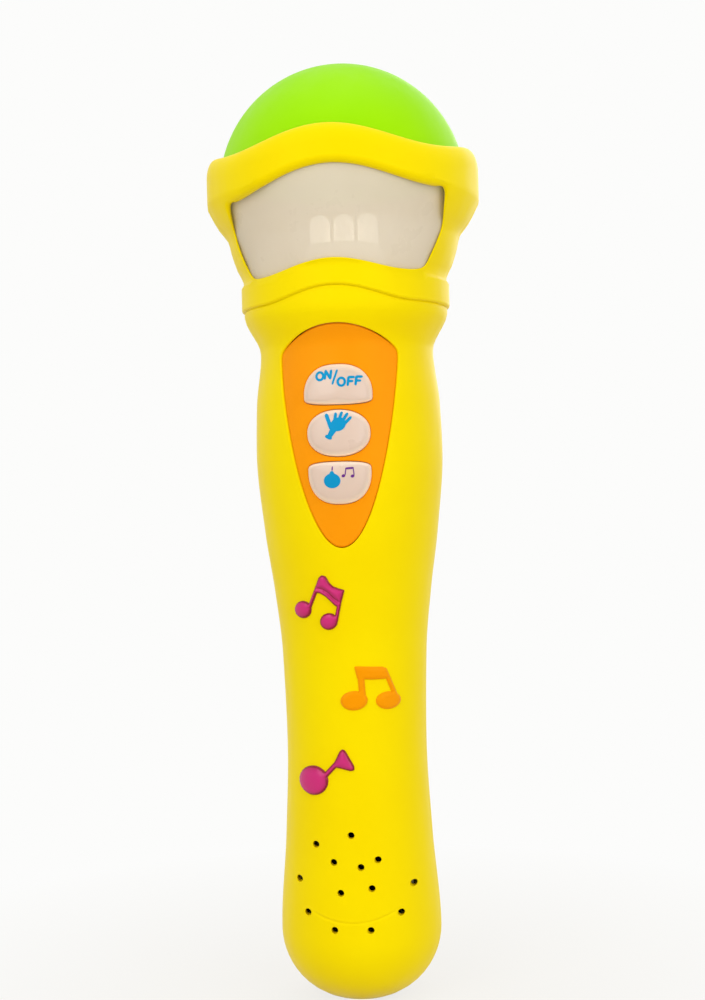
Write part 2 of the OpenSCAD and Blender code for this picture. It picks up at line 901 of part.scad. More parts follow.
module cell(x, low, nub_up) {
    body = cell_h - cell_nub_h;
    translate([x, cell_y, low + (nub_up ? 0 : cell_nub_h)])
        cylinder(d = cell_d, h = body);
    translate([x, cell_y, low + (nub_up ? body - eps : 0)])
        cylinder(d = cell_nub_d, h = cell_nub_h + eps);
}

module battery_left() {
    color([0.2, 0.3, 0.7]) cell(-cell_x, tray_in_z + plate_t + spring_h - contact_gap, true);
}

module battery_right() {
    color([0.2, 0.3, 0.7]) cell(cell_x, tray_in_z + plate_t + contact_gap, false);
}

module contact_bridge() {
    color(steel)
    translate([-bridge_half, cell_y - plate_back_y, tray_in_z])
        cube([2 * bridge_half, plate_deep, plate_t]);
}

module upper_contact(x) {
    translate([x - plate_half, cell_y - plate_back_y, tray_end_z - plate_t])
        cube([2 * plate_half, plate_deep, plate_t]);
}

module contact_positive() {
    color(steel) upper_contact(-cell_x);
}

module contact_negative() {
    color(steel) upper_contact(cell_x);
}

module contact_springs() {
    color(steel) {
        translate([-cell_x, cell_y, tray_in_z + plate_t])
            tube(spring_points, spring_wire / 2, spring_sides);
        translate([cell_x, cell_y, tray_end_z - plate_t])
            rotate([180, 0, 0])
                tube(spring_points, spring_wire / 2, spring_sides);
    }
}

module battery_door() {
    seat_y = body_r(door_screw_z) - door_seat;
    color(yellow)
    difference() {
        union() {
            intersection() {
                rear_prism(door_near_y + 1, reach)
                    door_shape(0);
                skin(0, door_t, door_low_z - 1, door_tongue_z + door_cut_spare - 1);
            }
            for (s = [-1, 1]) {
                translate([s * tab_x - tab_w / 2, tab_y, door_low_z - tab_drop])
                    cube([tab_w, tab_t, tab_h]);
                translate([s * tab_x - tab_w / 2, tab_y, door_low_z + tab_root_up])
                    cube([tab_w, tab_root_t, tab_root_h]);
            }
        }
        rod(0, door_screw_z, door_screw_d + screw_fit, door_hole_y, reach);
        rod(0, door_screw_z, door_head_d + screw_fit, seat_y, reach);
    }
}

module door_screw() {
    color(steel)
    screw(0, door_screw_z, door_screw_d, door_head_d, door_head_t, body_r(door_screw_z) - door_seat,
          door_tip_y);
}

module shell_screws() {
    color(steel)
    for (p = shell_screw_at)
        screw(p[0], p[1], shell_screw_d - shell_thread_play, shell_head_d, shell_head_t, shell_seat_y,
              shell_tip_y);
}

// Wires, each route drawn on both sides

module wire_pair(route) {
    for (s = [-1, 1])
        tube([for (p = route) [s * p[0], p[1], p[2]]], wire_r, wire_sides);
}

module speaker_wires() {
    color("red") wire_pair(speaker_route);
}

module battery_wires() {
    color(black) wire_pair(battery_route);
}

module lamp_wires() {
    color("white") wire_pair(lamp_route);
}

front_shell();
rear_shell();
dome_cap();
light_diffuser();
control_panel();
button_power();
button_applause();
button_music();
note_upper();
note_middle();
note_lower();
key_pad();
circuit_board();
chip_blob();
board_screws();
lamp_plate();
leds();
speaker_frame();
speaker_cone();
speaker_magnet();
speaker_retainer();
speaker_screws();
battery_left();
battery_right();
contact_bridge();
contact_positive();
contact_negative();
contact_springs();
battery_door();
door_screw();
shell_screws();
speaker_wires();
battery_wires();
lamp_wires();
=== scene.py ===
import json
import math

import bpy
import numpy as np
from mathutils import Matrix, Vector
from mathutils.geometry import delaunay_2d_cdt
from mathutils.kdtree import KDTree

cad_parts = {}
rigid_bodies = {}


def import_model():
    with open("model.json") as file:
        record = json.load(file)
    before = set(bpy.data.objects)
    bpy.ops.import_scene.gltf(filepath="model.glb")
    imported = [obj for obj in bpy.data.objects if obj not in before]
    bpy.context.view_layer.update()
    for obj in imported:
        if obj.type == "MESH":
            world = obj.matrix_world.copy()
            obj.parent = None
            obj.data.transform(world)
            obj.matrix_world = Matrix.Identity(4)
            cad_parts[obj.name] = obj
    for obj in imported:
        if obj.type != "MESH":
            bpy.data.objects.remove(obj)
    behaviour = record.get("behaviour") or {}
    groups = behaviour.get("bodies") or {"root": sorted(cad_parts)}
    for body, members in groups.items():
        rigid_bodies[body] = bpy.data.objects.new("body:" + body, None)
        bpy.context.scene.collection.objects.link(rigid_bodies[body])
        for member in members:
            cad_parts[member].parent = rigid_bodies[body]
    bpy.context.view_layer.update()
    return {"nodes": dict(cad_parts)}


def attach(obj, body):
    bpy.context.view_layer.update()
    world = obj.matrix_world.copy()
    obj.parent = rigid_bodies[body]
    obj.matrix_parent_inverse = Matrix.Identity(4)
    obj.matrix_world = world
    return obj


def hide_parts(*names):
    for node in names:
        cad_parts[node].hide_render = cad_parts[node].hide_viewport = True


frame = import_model()

# Sizes are in millimetres and turn into metres where a mesh is made. The front faces -Y.
MM = 0.001
FRONT = np.array([0.0, -1.0, 0.0])

# Outline of the casing: heights and radii of the butt, waist, grip, neck, collar, posts and upper ring
BUTT_Z, BUTT_R, BUTT_ARC = 17.0, 19.8, 17.3
STATIONS = np.array([
    (BUTT_Z, BUTT_R), (40, 18.2), (62, 17.3), (85, 17.88), (100, 19.39), (115, 21.48), (134, 23.1),
    (146, 22.76), (159, 21.4), (168.5, 25.2), (176.5, 25.2), (180, 26.7), (184, 28), (187, 28.7),
    (190.5, 31.2), (194, 33.1), (195.5, 33.7), (206.5, 33.7)])
WALL = 1.8
FLOOR = 2.0
FOOT_R, FOOT_Z = 4.6, 0.7
SEAM_WIDTH, SEAM_DEPTH = math.radians(1.1), 0.28
# A faint arc moulded between the lowest sound holes
ARC_Z, ARC_R, ARC_END = 44.7, 22.5, math.radians(30)
ARC_DEEP, ARC_WIDE = 0.22, 0.6

# Head: the rings swing in four waves around the axis
RING_R = 33.7
RING_TOP, RING_TOP_SWING, RING_DROP = 207.0, 1.9, 1.5
RING_LOW, RING_LOW_SWING = 198.0, 2.6
RING_BORE = 30.85
CROWN_IN, CROWN_DOWN, CROWN_LIP = 2.1, 4.8, 0.4
GROOVE_R, GROOVE_TOP = 32.2, 203.6
SEAT_R, SEAT_TOP = 31.9, 201.9
BAND_R = 25.8
BAND_TOP, BAND_LOW, BAND_SWING = 177.3, 171.1, 1.7
BAND_EDGE, BAND_SOFT = 0.55, 1.2
CREASE_DEEP, CREASE_WIDE = 0.3, 0.8
# The window's upper edge sinks below that of the ring, most on the left, and its lower edge rises at the ends
WINDOW_TOP_HALF, WINDOW_LOW_HALF = 25.2, 20.5
WINDOW_SINK, WINDOW_SINK_LEAN = 1.0, 0.8
WINDOW_RISE, WINDOW_RISE_LEAN = 0.9, 0.5
WINDOW_RIGHT, WINDOW_SWELL = 1.2, 1.3
DOME_R, DOME_Z, DOME_WALL = 30.6, 199.4, 1.7
FLANGE_R, FLANGE_LOW, FLANGE_TOP = GROOVE_R - 0.2, 202.0, 203.5
# The light window: a cone close behind the posts, then a short cylinder under the upper ring
LENS = np.array([(173.5, 23.2), (177, 24.6), (180, 25.9), (187, 28.1), (197, 31.75), (201.5, 31.75)])
LENS_GAP, LENS_WALL = 0.15, 1.4
LENS_ROWS, LENS_PASSES = 57, 40

# Panel and buttons: each cap is half width, height, foot and the side that is flat (1 below, -1 above)
PANEL_HALF, PANEL_SHOULDER, PANEL_TOP, PANEL_LOW = 14.3, 158.0, 164.0, 110.9
PANEL_SUNK, PANEL_THICK, PANEL_GAP, PANEL_EDGE = 0.4, 1.8, 0.2, 0.5
CAPS = {
    "button_power": (8.15, 9.6, 144.9, 1),
    "button_applause": (7.5, 11.0, 132.7, 0),
    "button_music": (7.5, 10.0, 121.5, -1),
}
CAP_GAP, CAP_PROUD, CAP_ROUND, CAP_CROWN = 0.12, 1.5, 1.6, 0.6
# Rows of a cap's mesh: depths of its wall, distances inside its edge, and shares of the way from its middle
CAP_DEPTHS = (3.2, 1.0)
CAP_INSETS = (0, 0.03, 0.12, 0.28, 0.5, 0.8, 1.15, 1.6)
CAP_SHARES = (0.86, 0.7, 0.54, 0.38, 0.22, 0.1)

# Raised notes, with a crease along the upper one's beam, and the ink on the caps
NOTE_UPPER, NOTE_MIDDLE, NOTE_LOWER = np.array([-5.3, 100]), np.array([5, 78]), np.array([-4.4, 58])
UPPER_CREASE = NOTE_UPPER + np.array([(-1.4, 1.7), (0.2, 1.4), (1.6, 0.5), (2.8, -0.8), (3.9, -1.6)])
CREASE_EDGE = 0.05
NOTE_STEP, NOTE_ROOT = 0.24, 0.5
INK_STEP, INK_ROOT, INK_THICK = 0.3, 0.1, 0.035
LETTER_TALL, LETTER_WIDE, SLASH_WIDE = 1.9, 0.62, 0.5

SOUND_HOLES = [(0, 42.7), (-8.7, 40.2), (-4.3, 36.3), (6.2, 36.8), (2.2, 35.2), (-13.2, 31.4), (14.2, 30.2),
               (-2.7, 29.2), (4.7, 30.2), (-11, 24), (11.3, 24), (-4.3, 20.5), (4.3, 20.5)]
SOUND_HOLE_R = 0.82
# Rounding of the openings' rims
RIM, WINDOW_RIM, WINDOW_RIM_ABOVE, SOUND_RIM = 0.3, 0.22, 1.7, 0.15
RIM_PASSES = 30

# Rear: screw wells, the battery door with its two tabs, and the battery box
WELLS = [(0, 8), (-15.5, 122), (15.5, 122), (-15.5, 163.5), (15.5, 163.5)]
WELL_R, WELL_SEAT_Y, BOSS_R = 2.4, 6.0, 3.65
DOOR_HALF, DOOR_LOW, DOOR_WIDE, DOOR_TONGUE_Z, DOOR_TONGUE_R = 14.6, 50.5, 110.5, 114.0, 5.0
DOOR_GAP, DOOR_EDGE = 0.25, 0.35
DOOR_SCREW_Z, DOOR_SCREW_R = 114.2, 2.4
DOOR_BOSS_R, DOOR_BOSS_BORE, DOOR_BOSS_LOW, DOOR_BOSS_SUNK = 3.25, 1.6, 4.0, 2.1
TAB_X, TAB_HALF, TAB_DOWN, TAB_UP, TAB_ROOT_UP = 6.0, 2.0, 2.4, 3.0, 0.4
TAB_IN_Y, TAB_OUT_Y, TAB_ROOT_Y = -12.0, -13.5, -15.4
# The end walls of the battery box: their lower heights, and how far back they reach
TRAY_WALLS = ((50.5, 10.8), (108.5, 40.0))
TRAY_HALF, TRAY_Y, TRAY_FLOOR, TRAY_WALL = 11.5, 6.4, 1.0, 1.5
LAP = 0.05
CELL_R, CELL_CORE_R, CELL_NUB_R = 7.15, 6.3, 2.75
CELL_BODY, CELL_NUB, CELL_EDGE = 49.5, 1.0, 0.7
CELL_CAN_GAP, CELL_CAN_EDGE, CELL_END, CELL_SHOULDER = 0.02, 0.5, 0.1, 0.3
CELL_X, CELL_Y = 7.4, 2.0

# Columns and rows of the casing's mesh, closer at the seam and at the lower ring
SIDE = math.pi / 2
SEAM_STEPS = np.radians([88.9, 89.3, 89.65, 90])
COLUMNS = np.concatenate([-SEAM_STEPS[::-1], np.radians(np.linspace(-88, 88, 72)), SEAM_STEPS])
BAND_COLUMNS = np.radians(np.linspace(-88, 88, 142))
BAND_LOW_STEPS = (-0.8, -0.5, -0.25, -0.1, 0, 0.04, 0.12, 0.27, 0.55)
BAND_TOP_STEPS = (-0.6, -0.4, -0.2, 0, 0.2, 0.4, 0.6)
POST_START = math.radians(56)
CENTRE_ROW = 4.0
SIDE_STEP, LINING_STEP = 2.0, 4.0
# How far the even grid stays from the closer rows
BAND_CLEAR, ARC_CLEAR = 0.4, 0.3
# A curved sheet is unrolled at this radius before its triangles are found
UNROLL = 20.0
LEAST_AREA, FLAT_TOLERANCE = 1e-5, 1e-6

# Stage: name, place, height of the aim and power of each lamp, the white of the paper, and the camera
LAMPS = (("key", (-350, -650, 420), 110, 1.85), ("fill", (500, -500, 250), 110, 1.45),
         ("back", (250, 600, 400), 110, 1.2), ("top", (0, -100, 700), 150, 0.7))
LAMP_SIZE = 500.0
SKY_LEVEL = 0.64
PAPER = (252, 252, 251)
CAMERA_AWAY, CAMERA_Z, CAMERA_ASIDE = 380.0, 122.4, 0.41
CAMERA_TURN, CAMERA_ROLL = math.radians(6.5), math.radians(1.5)
CAMERA_LENS, CAMERA_SENSOR = 54.9, 36.0


# Meshes

def linked(name, data):
    """A new object in the scene."""
    thing = bpy.data.objects.new(name, data)
    bpy.context.scene.collection.objects.link(thing)
    return thing


class Skin:
    """Points, faces and corner normals of a piece. A rear skin is drawn as if in front and then mirrored."""

    def __init__(self, rear=False):
        self.mirror = np.array([1, -1 if rear else 1, 1])
        self.ids = {}
        self.points, self.faces, self.normals = [], [], []

    def add(self, points, faces, normals=None, out=FRONT):
        """Adds a patch. Corners at the same place are welded. Without normals the patch is smooth by itself,
        and out is the side that it faces."""
        points = np.asarray(points, float).reshape(-1, 3)
        faces = [list(f) for f in faces]
        if normals is None:
            normals = smooth_normals(points, faces)
            if np.sum(normals @ out) < 0:
                normals = -normals
        points = points * self.mirror
        normals = np.asarray(normals, float).reshape(-1, 3) * self.mirror
        ids = []
        for p in points:
            key = tuple(np.round(p, 3) + 0.0)
            if key not in self.ids:
                self.ids[key] = len(self.points)
                self.points.append(p)
            ids.append(self.ids[key])
        for f in faces:
            corners = [i for n, i in enumerate(f) if ids[i] != ids[f[n - 1]]]
            if len(corners) < 3:
                continue
            a, b, c = (points[i] for i in (corners[0], corners[1], corners[-1]))
            if np.dot(np.cross(b - a, c - a), normals[corners].sum(axis=0)) < 0:
                corners.reverse()
            self.faces.append([ids[i] for i in corners])
            self.normals.extend(normals[i] for i in corners)

    def add_flat(self, points, faces, normal):
        """Adds a patch that faces one way."""
        self.add(points, faces, np.tile(normal, (len(points), 1)))

    def piece(self, name, material, body, slot, *nodes):
        """Makes the Blender object, rides it on a body and lets it stand for the CAD nodes."""
        mesh = bpy.data.meshes.new(name)
        mesh.from_pydata([Vector(p) * MM for p in self.points], [], self.faces)
        mesh.polygons.foreach_set("use_smooth", [True] * len(mesh.polygons))
        mesh.normals_split_custom_set([Vector(n).normalized() for n in self.normals])
        mesh.materials.append(material)
        piece = linked(name, mesh)
        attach(piece, body)
        if nodes:
            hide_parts(*nodes)
        return piece


def unit(v):
    """Vectors of length 1."""
    return v / np.maximum(np.linalg.norm(v, axis=-1, keepdims=True), 1e-9)


def joined(*parts):
    """Points from their separate coordinates."""
    return np.stack(np.broadcast_arrays(*parts), axis=-1)


def smooth_normals(points, faces):
    normals = np.zeros_like(points)
    for f in faces:
        a, b, c = points[f[0]], points[f[1]], points[f[-1]]
        normals[f] += np.cross(b - a, c - a)
    return unit(normals)


def quads(count, width, closed=True):
    """Four-sided faces between neighbouring rows of points."""
    faces = []
    for k in range(0, (count - 1) * width, width):
        for i in range(width if closed else width - 1):
            j = (i + 1) % width
            faces.append((k + i, k + j, k + width + j, k + width + i))
    return faces


def strip(skin, rows, normals, closed=True):
    """Adds the faces between neighbouring rows."""
    rows = np.asarray(rows, float)
    skin.add(rows, quads(*rows.shape[:2], closed), normals)


def fan(skin, ring, middle, normal):
    """A flat end inside a closed ring."""
    last = len(ring)
    skin.add_flat(np.vstack([ring, [middle]]), [(i, (i + 1) % last, last) for i in range(last)], normal)


def turned(skin, parts, centre=(0, 0), axis_y=None, steps=96):
    """A turned solid. Its outline is listed up the outside and down the inside, and each part of it is smooth
    by itself."""
    angles = np.arange(steps) * 2 * math.pi / steps

    def spun(outline):
        return np.stack([joined(r * np.cos(angles), r * np.sin(angles), z) for r, z in outline])

    for part in parts:
        way = np.gradient(np.asarray(part, float), axis=0)
        rows = spun(part) + [*centre, 0]
        normals = spun(unit(joined(way[:, 1], -way[:, 0])))
        if axis_y is not None:
            rows = rows[..., [0, 2, 1]] * [1, -1, 1] + [0, 0, axis_y]
            normals = normals[..., [0, 2, 1]] * [1, -1, 1]
        strip(skin, rows, normals)


def arc(centre, r, start, end, steps):
    """Points of a round stretch, angles in degrees."""
    a = np.radians(np.linspace(start, end, steps + 1))
    return [(centre[0] + r * math.cos(t), centre[1] + r * math.sin(t)) for t in a]


def circle(x, z, r, steps=24):
    return np.array(arc((x, z), r, 0, 360, steps)[:-1])


def evened(row, passes):
    """A closed row of values, each drawn towards its neighbours."""
    for _ in range(passes):
        row = (np.roll(row, 1, axis=0) + 2 * row + np.roll(row, -1, axis=0)) / 4
    return row


def soften(loop, spacing, passes):
    """A closed outline with even points and rounded corners."""
    closed = np.vstack([loop, loop[:1]])
    reach = np.concatenate([[0], np.cumsum(np.linalg.norm(np.diff(closed, axis=0), axis=1))])
    marks = np.linspace(0, reach[-1], max(12, int(reach[-1] / spacing)), endpoint=False)
    return evened(joined(*(np.interp(marks, reach, values) for values in closed.T)), passes)


def nearest(points):
    """A search tree over points."""
    tree = KDTree(len(points))
    for i, p in enumerate(points):
        tree.insert(p, i)
    tree.balance()
    return tree


# Surfaces, as a radius at an angle from the front and a height

def body_r(z):
    """The smooth outline of the casing."""
    z = np.asarray(z, float)
    at, r = STATIONS.T
    rise = np.diff(r) / np.diff(at)
    slopes = np.zeros(len(at))
    both = rise[:-1] * rise[1:]
    steady = both > 0
    slopes[1:-1][steady] = 2 * both[steady] / (rise[:-1] + rise[1:])[steady]
    i = np.clip(np.searchsorted(at, z) - 1, 0, len(at) - 2)
    h = at[i + 1] - at[i]
    t = np.clip((z - at[i]) / h, 0, 1)
    handle = (r[i] * (2 * t ** 3 - 3 * t ** 2 + 1) + h * slopes[i] * (t ** 3 - 2 * t ** 2 + t)
              + r[i + 1] * (3 * t ** 2 - 2 * t ** 3) + h * slopes[i + 1] * (t ** 3 - t ** 2))
    return np.where(z < BUTT_Z, butt_r(z, BUTT_ARC), handle)


def butt_r(z, r):
    """The round butt, with the arc's radius r."""
    return BUTT_R - BUTT_ARC + np.sqrt(np.maximum(r ** 2 - (BUTT_Z - z) ** 2, 0))


def wave(theta, middle, swing):
    return middle + swing * np.cos(4 * theta)


def band_edge(theta, middle):
    """An edge of the lower ring: one crest in front, level at the sides."""
    return wave(np.minimum(np.abs(theta), math.pi / 4), middle, BAND_SWING)


def ring_top(theta):
    """The top edge of the upper ring: a crest in front, and lower ones at the sides."""
    return wave(theta, RING_TOP, RING_TOP_SWING) - RING_DROP * np.sin(theta) ** 8


def band_r(above):
    """The band of the lower ring, rounded at its lower edge; above is the height over that edge."""
    t = np.clip(above / BAND_EDGE, 0, 1)
    return np.where(above < 0, 0, BAND_R - BAND_EDGE + BAND_EDGE * np.sqrt(1 - (1 - t) ** 2))


def outer_r(theta, z):
    """The casing's outside with the lower ring's band, the crease below it and the groove along the seam."""
    above = z - band_edge(theta, BAND_LOW)
    below = band_edge(theta, BAND_TOP) - z
    body = body_r(z) - CREASE_DEEP * np.where(above < 0, np.clip(1 + above / CREASE_WIDE, 0, 1), 0) ** 2
    t = np.clip(below / BAND_SOFT + 0.5, 0, 1)
    r = body + np.maximum(band_r(above) - body, 0) * t ** 2 * (3 - 2 * t)
    near = np.clip(1 - (SIDE - np.abs(theta)) / SEAM_WIDTH, 0, 1)
    return r - SEAM_DEPTH * near ** 2


def front_r(theta, z):
    """The front's outside, with the faint arc, which runs out at its ends."""
    r = outer_r(theta, z)
    x, up = r * np.sin(theta), z - ARC_Z
    off = np.abs(np.hypot(x, up) - ARC_R) / ARC_WIDE
    along = np.abs(np.arctan2(x, -up)) / ARC_END
    return r - ARC_DEEP * np.clip(1 - off, 0, 1) ** 2 * np.clip(3 - 3 * along, 0, 1)


def inner_r(theta, z):
    """The casing's inside, which makes room for the light window in the head."""
    room = np.interp(z, *LENS.T, left=0) + LENS_GAP
    handle = np.minimum(np.maximum(body_r(z) - WALL, room), SEAT_R)
    return np.where(z < BUTT_Z, butt_r(z, BUTT_ARC - WALL), handle) + 0 * theta


def place(radius, theta, z):
    """Points and outward normals of a surface."""
    theta, z = np.broadcast_arrays(np.asarray(theta, float), np.asarray(z, float))
    rise = 0.004
    nudge = rise / 20
    r = radius(theta, z)
    turn = (radius(theta + nudge, z) - radius(theta - nudge, z)) / (2 * nudge)
    climb = (radius(theta, z + rise) - radius(theta, z - rise)) / (2 * rise)
    out = joined(np.sin(theta), -np.cos(theta), 0)
    along = joined(np.cos(theta), np.sin(theta), 0)
    up = np.array([0, 0, 1.0])
    points = out * r[..., None] + up * z[..., None]
    return points, unit(out - along * (turn / r)[..., None] - up * climb[..., None])


def project(radius, outline):
    """Points and normals of a front outline of (x, height) on a surface."""
    x, z = np.asarray(outline, float).T
    theta = np.arcsin(np.clip(x / body_r(z), -1, 1))
    for _ in range(4):
        theta = np.arcsin(np.clip(x / radius(theta, z), -1, 1))
    return place(radius, theta, z)


def sunk(depth):
    """The casing's smooth outline, sunk by a depth."""
    return lambda theta, z: body_r(z) - depth + 0 * theta


# Sheets with rounded openings

def unrolled(points):
    return joined(np.arctan2(points[:, 0], -points[:, 1]) * UNROLL, points[:, 2])


def inside(spots, loop):
    """Which spots are inside a closed outline."""
    hit = np.zeros(len(spots), bool)
    for a, b in zip(loop, np.roll(loop, -1, axis=0)):
        crosses = (a[1] > spots[:, 1]) != (b[1] > spots[:, 1])
        if a[1] != b[1]:
            hit ^= crosses & (spots[:, 0] < a[0] + (spots[:, 1] - a[1]) * (b[0] - a[0]) / (b[1] - a[1]))
    return hit


def triangulated(flat, edges):
    """Points and triangles over flat points with some edges given, and the number that each point had."""
    found = delaunay_2d_cdt([Vector(p) for p in flat], edges, [], 0, FLAT_TOLERANCE, True)
    source = np.array([s[0] if s else -1 for s in found[3]])
    return np.array([tuple(v) for v in found[0]]), np.array([list(f) for f in found[2]]), source


def filled(flat, loops):
    """The same, but only the triangles inside any of the loops of point numbers."""
    edges = [(loop[i - 1], loop[i]) for loop in loops for i in range(len(loop))]
    points, tris, source = triangulated(flat, edges)
    middles = points[tris].mean(axis=1)
    keep = np.any([inside(middles, flat[list(loop)]) for loop in loops], axis=0)
    return points, tris[keep], source


def face_of(outline):
    """Triangles inside one flat outline, as numbers of its points."""
    _, tris, source = filled(outline, [range(len(outline))])
    return source[tris]


def sheet(skin, radius, loops, spots, clear, facing=1):
    """A curved sheet between loops of (points, normals): the outline first, then the holes. spots are the
    angles and heights of the points between them, and clear is their least distance from a loop."""
    points, normals = place(radius, *np.asarray(spots, float).T)
    edge_points = np.vstack([p for p, n in loops])
    tree = nearest(edge_points)
    free = [i for i, p in enumerate(points) if tree.find(p)[2] > clear]
    points = np.vstack([edge_points, points[free]])
    normals = np.vstack([n for p, n in loops] + [facing * normals[free]])
    edges = []
    for p, n in loops:
        start = len(edges)
        edges += [(start + i, start + (i + 1) % len(p)) for i in range(len(p))]
    flat = unrolled(points)
    _, tris, source = triangulated(flat, edges)
    tris = source[tris]
    tris = tris[(tris >= 0).all(axis=1)]
    middles = flat[tris].mean(axis=1)
    ab, ac = flat[tris[:, 1]] - flat[tris[:, 0]], flat[tris[:, 2]] - flat[tris[:, 0]]
    keep = np.abs(ab[:, 0] * ac[:, 1] - ab[:, 1] * ac[:, 0]) > LEAST_AREA
    keep &= inside(middles, unrolled(loops[0][0]))
    for p, n in loops[1:]:
        keep &= ~inside(middles, unrolled(p))
    skin.add(points, tris[keep], normals)


def grid(loop, turn, rise):
    """Even spots over the field of a loop: turn is the step in degrees and rise the step in height."""
    flat = unrolled(loop[0])
    low, high = flat.min(axis=0), flat.max(axis=0)
    columns = np.arange(low[0] / UNROLL, high[0] / UNROLL, math.radians(turn)) + math.radians(turn) / 2
    levels = np.arange(low[1], high[1], rise) + rise / 2
    spots = joined(*np.meshgrid(columns, levels)).reshape(-1, 2)
    return spots[inside(spots * [UNROLL, 1], flat)]


def wall_normals(points, normals, along=None, closed=True):
    """Directions out of the material at an outline that runs anticlockwise round an opening."""
    if closed:
        way = np.roll(points, -1, axis=0) - np.roll(points, 1, axis=0)
    else:
        way = np.gradient(points, axis=0)
    out = unit(np.cross(normals, way))
    if along is None:
        return out
    straight = unit(np.cross(way, along))
    return straight * np.sign(np.sum(straight * out, axis=1))[:, None]


def round_over(points, normals, walls, r, steps=5):
    """Rows of a rounded edge, from the face over to the wall, and their normals."""
    lean = np.sum(normals * walls, axis=1, keepdims=True)
    middle = points - r * (normals + walls) / (1 + lean)
    bend = np.arccos(np.clip(lean, -1, 1))
    ways = [(np.sin((1 - t) * bend) * normals + np.sin(t * bend) * walls) / np.sin(bend)
            for t in np.linspace(0, 1, steps + 1)]
    return np.stack([middle + r * w for w in ways]), np.stack(ways)


def opening(skin, surface, outline, depth, r, outward=False):
    """The rounded rim and the wall of an opening, or of a plate's edge if outward. Returns the loops where
    the outer and the inner sheet start."""
    points, normals = project(surface, outline)
    walls = wall_normals(points, normals) * (-1 if outward else 1)
    rows, ways = round_over(points, normals, walls, r)
    strip(skin, rows, ways)
    low = points - normals * depth
    strip(skin, [rows[-1], low], [walls, walls])
    return (rows[0], normals), (low, -normals)


def straight_opening(skin, outline, r, r_above=None):
    """The rounded rim and the wall of an opening that runs straight back. Its upper edge can be rounder."""
    points, normals = project(outer_r, outline)
    walls = wall_normals(points, normals, FRONT)
    if r_above:
        r = evened(r + (r_above - r) * np.maximum(-walls[:, 2:], 0), RIM_PASSES)
    rows, ways = round_over(points, normals, walls, r, 7)
    strip(skin, rows, ways)
    back, back_way = project(inner_r, rows[-1][:, [0, 2]])
    strip(skin, [rows[-1], back], [walls, walls])
    return (rows[0], normals), (back, -back_way)


def plate(skin, outline, holes, depth, thick, r, hole_r, turn=2.5, rise=1.5):
    """A plate that follows the casing, sunk by a depth, with rounded edges and holes."""
    face, back = sunk(depth), sunk(depth + thick)
    rims = [opening(skin, face, outline, thick, r, True)]
    rims += [opening(skin, face, hole, thick, hole_r) for hole in holes]
    fronts, backs = zip(*rims)
    sheet(skin, face, fronts, grid(fronts[0], turn, rise), clear=0.5)
    sheet(skin, back, backs, grid(backs[0], 2 * turn, 2 * rise), clear=0.8, facing=-1)


# Outlines from the front, or of the door from behind

def window_side(low, top):
    """Points between two corners of the window, on a line that swells outwards."""
    t = np.linspace(0, 1, 40)[1:-1, None]
    swell = np.sign(low[0]) * WINDOW_SWELL * np.sin(math.pi * t)
    return low + (top - low) * t + np.hstack([swell, 0 * t])


def window_outline():
    """The window: two wavy edges and two sides, with rounded corners."""
    x = np.linspace(-1, 1, 60)
    top = np.arcsin(x * WINDOW_TOP_HALF / RING_R)
    low = np.arcsin(x * WINDOW_LOW_HALF / BAND_R)
    sink = WINDOW_SINK - WINDOW_SINK_LEAN * x
    rise = x ** 2 * (WINDOW_RISE + WINDOW_RISE_LEAN * x)
    wide = WINDOW_TOP_HALF + WINDOW_RIGHT * np.maximum(x, 0)
    upper = joined(x * wide, wave(top, RING_LOW, RING_LOW_SWING) - sink)
    lower = joined(x * WINDOW_LOW_HALF, band_edge(low, BAND_TOP) + rise)
    right, left = (window_side(lower[end], upper[end]) for end in (-1, 0))
    return soften(np.vstack([lower, right, upper[::-1], left[::-1]]), spacing=0.5, passes=12)


def panel_outline(grow):
    """The shield of the panel: a round foot, sides that swell to the shoulders and an arch on top."""
    half = PANEL_HALF + grow
    low = PANEL_LOW - grow
    drop = PANEL_SHOULDER - low
    z = low + drop * np.linspace(0, 1, 40) ** 2
    side = joined(half * np.sqrt(np.maximum(1 - ((PANEL_SHOULDER - z) / drop) ** 1.5, 0)), z)
    rise = PANEL_TOP + grow - PANEL_SHOULDER
    r = (half ** 2 + rise ** 2) / (2 * rise)
    x = np.linspace(half, -half, 40)
    arch = joined(x, PANEL_TOP + grow - r + np.sqrt(r ** 2 - x ** 2))
    return soften(np.vstack([side, arch[1:-1], side[::-1] * [-1, 1]]), spacing=0.7, passes=5)


def cap_outline(size, grow, steps=72):
    """A button cap: an oval whose powers below 1 make it boxier, most on its flat side."""
    half, tall, foot_z, flat = size
    squat = 0.24 if flat else 0.5
    a = np.arange(steps) * 2 * math.pi / steps
    up = np.sin(a) >= 0
    bend = np.where(up | (flat == 0), 0.92, 0.45)
    x = (half + grow) * np.sign(np.cos(a)) * np.abs(np.cos(a)) ** (0.8 if flat else 0.92)
    level = np.sign(np.sin(a)) * np.abs(np.sin(a)) ** bend * np.where(up, 1 - squat, squat)
    level = squat + level if flat >= 0 else 1 - squat - level
    loop = joined(x, foot_z - grow + (tall + 2 * grow) * level)
    return loop if flat >= 0 else loop[::-1]


def door_outline(grow):
    """The battery door: a wide field and a round tongue above it."""
    half, tongue = DOOR_HALF + grow, DOOR_TONGUE_R + grow
    low, wide = DOOR_LOW - grow, DOOR_WIDE + grow
    top = arc((0, DOOR_TONGUE_Z), tongue, 0, 180, 24)
    field = [(-half, low), (half, low), (half, wide), (tongue, wide)] + top + [(-tongue, wide), (-half, wide)]
    return soften(field, spacing=0.6, passes=6)


# Casing

def ring_row(r, z):
    return joined(r * np.sin(COLUMNS), -r * np.cos(COLUMNS), z)


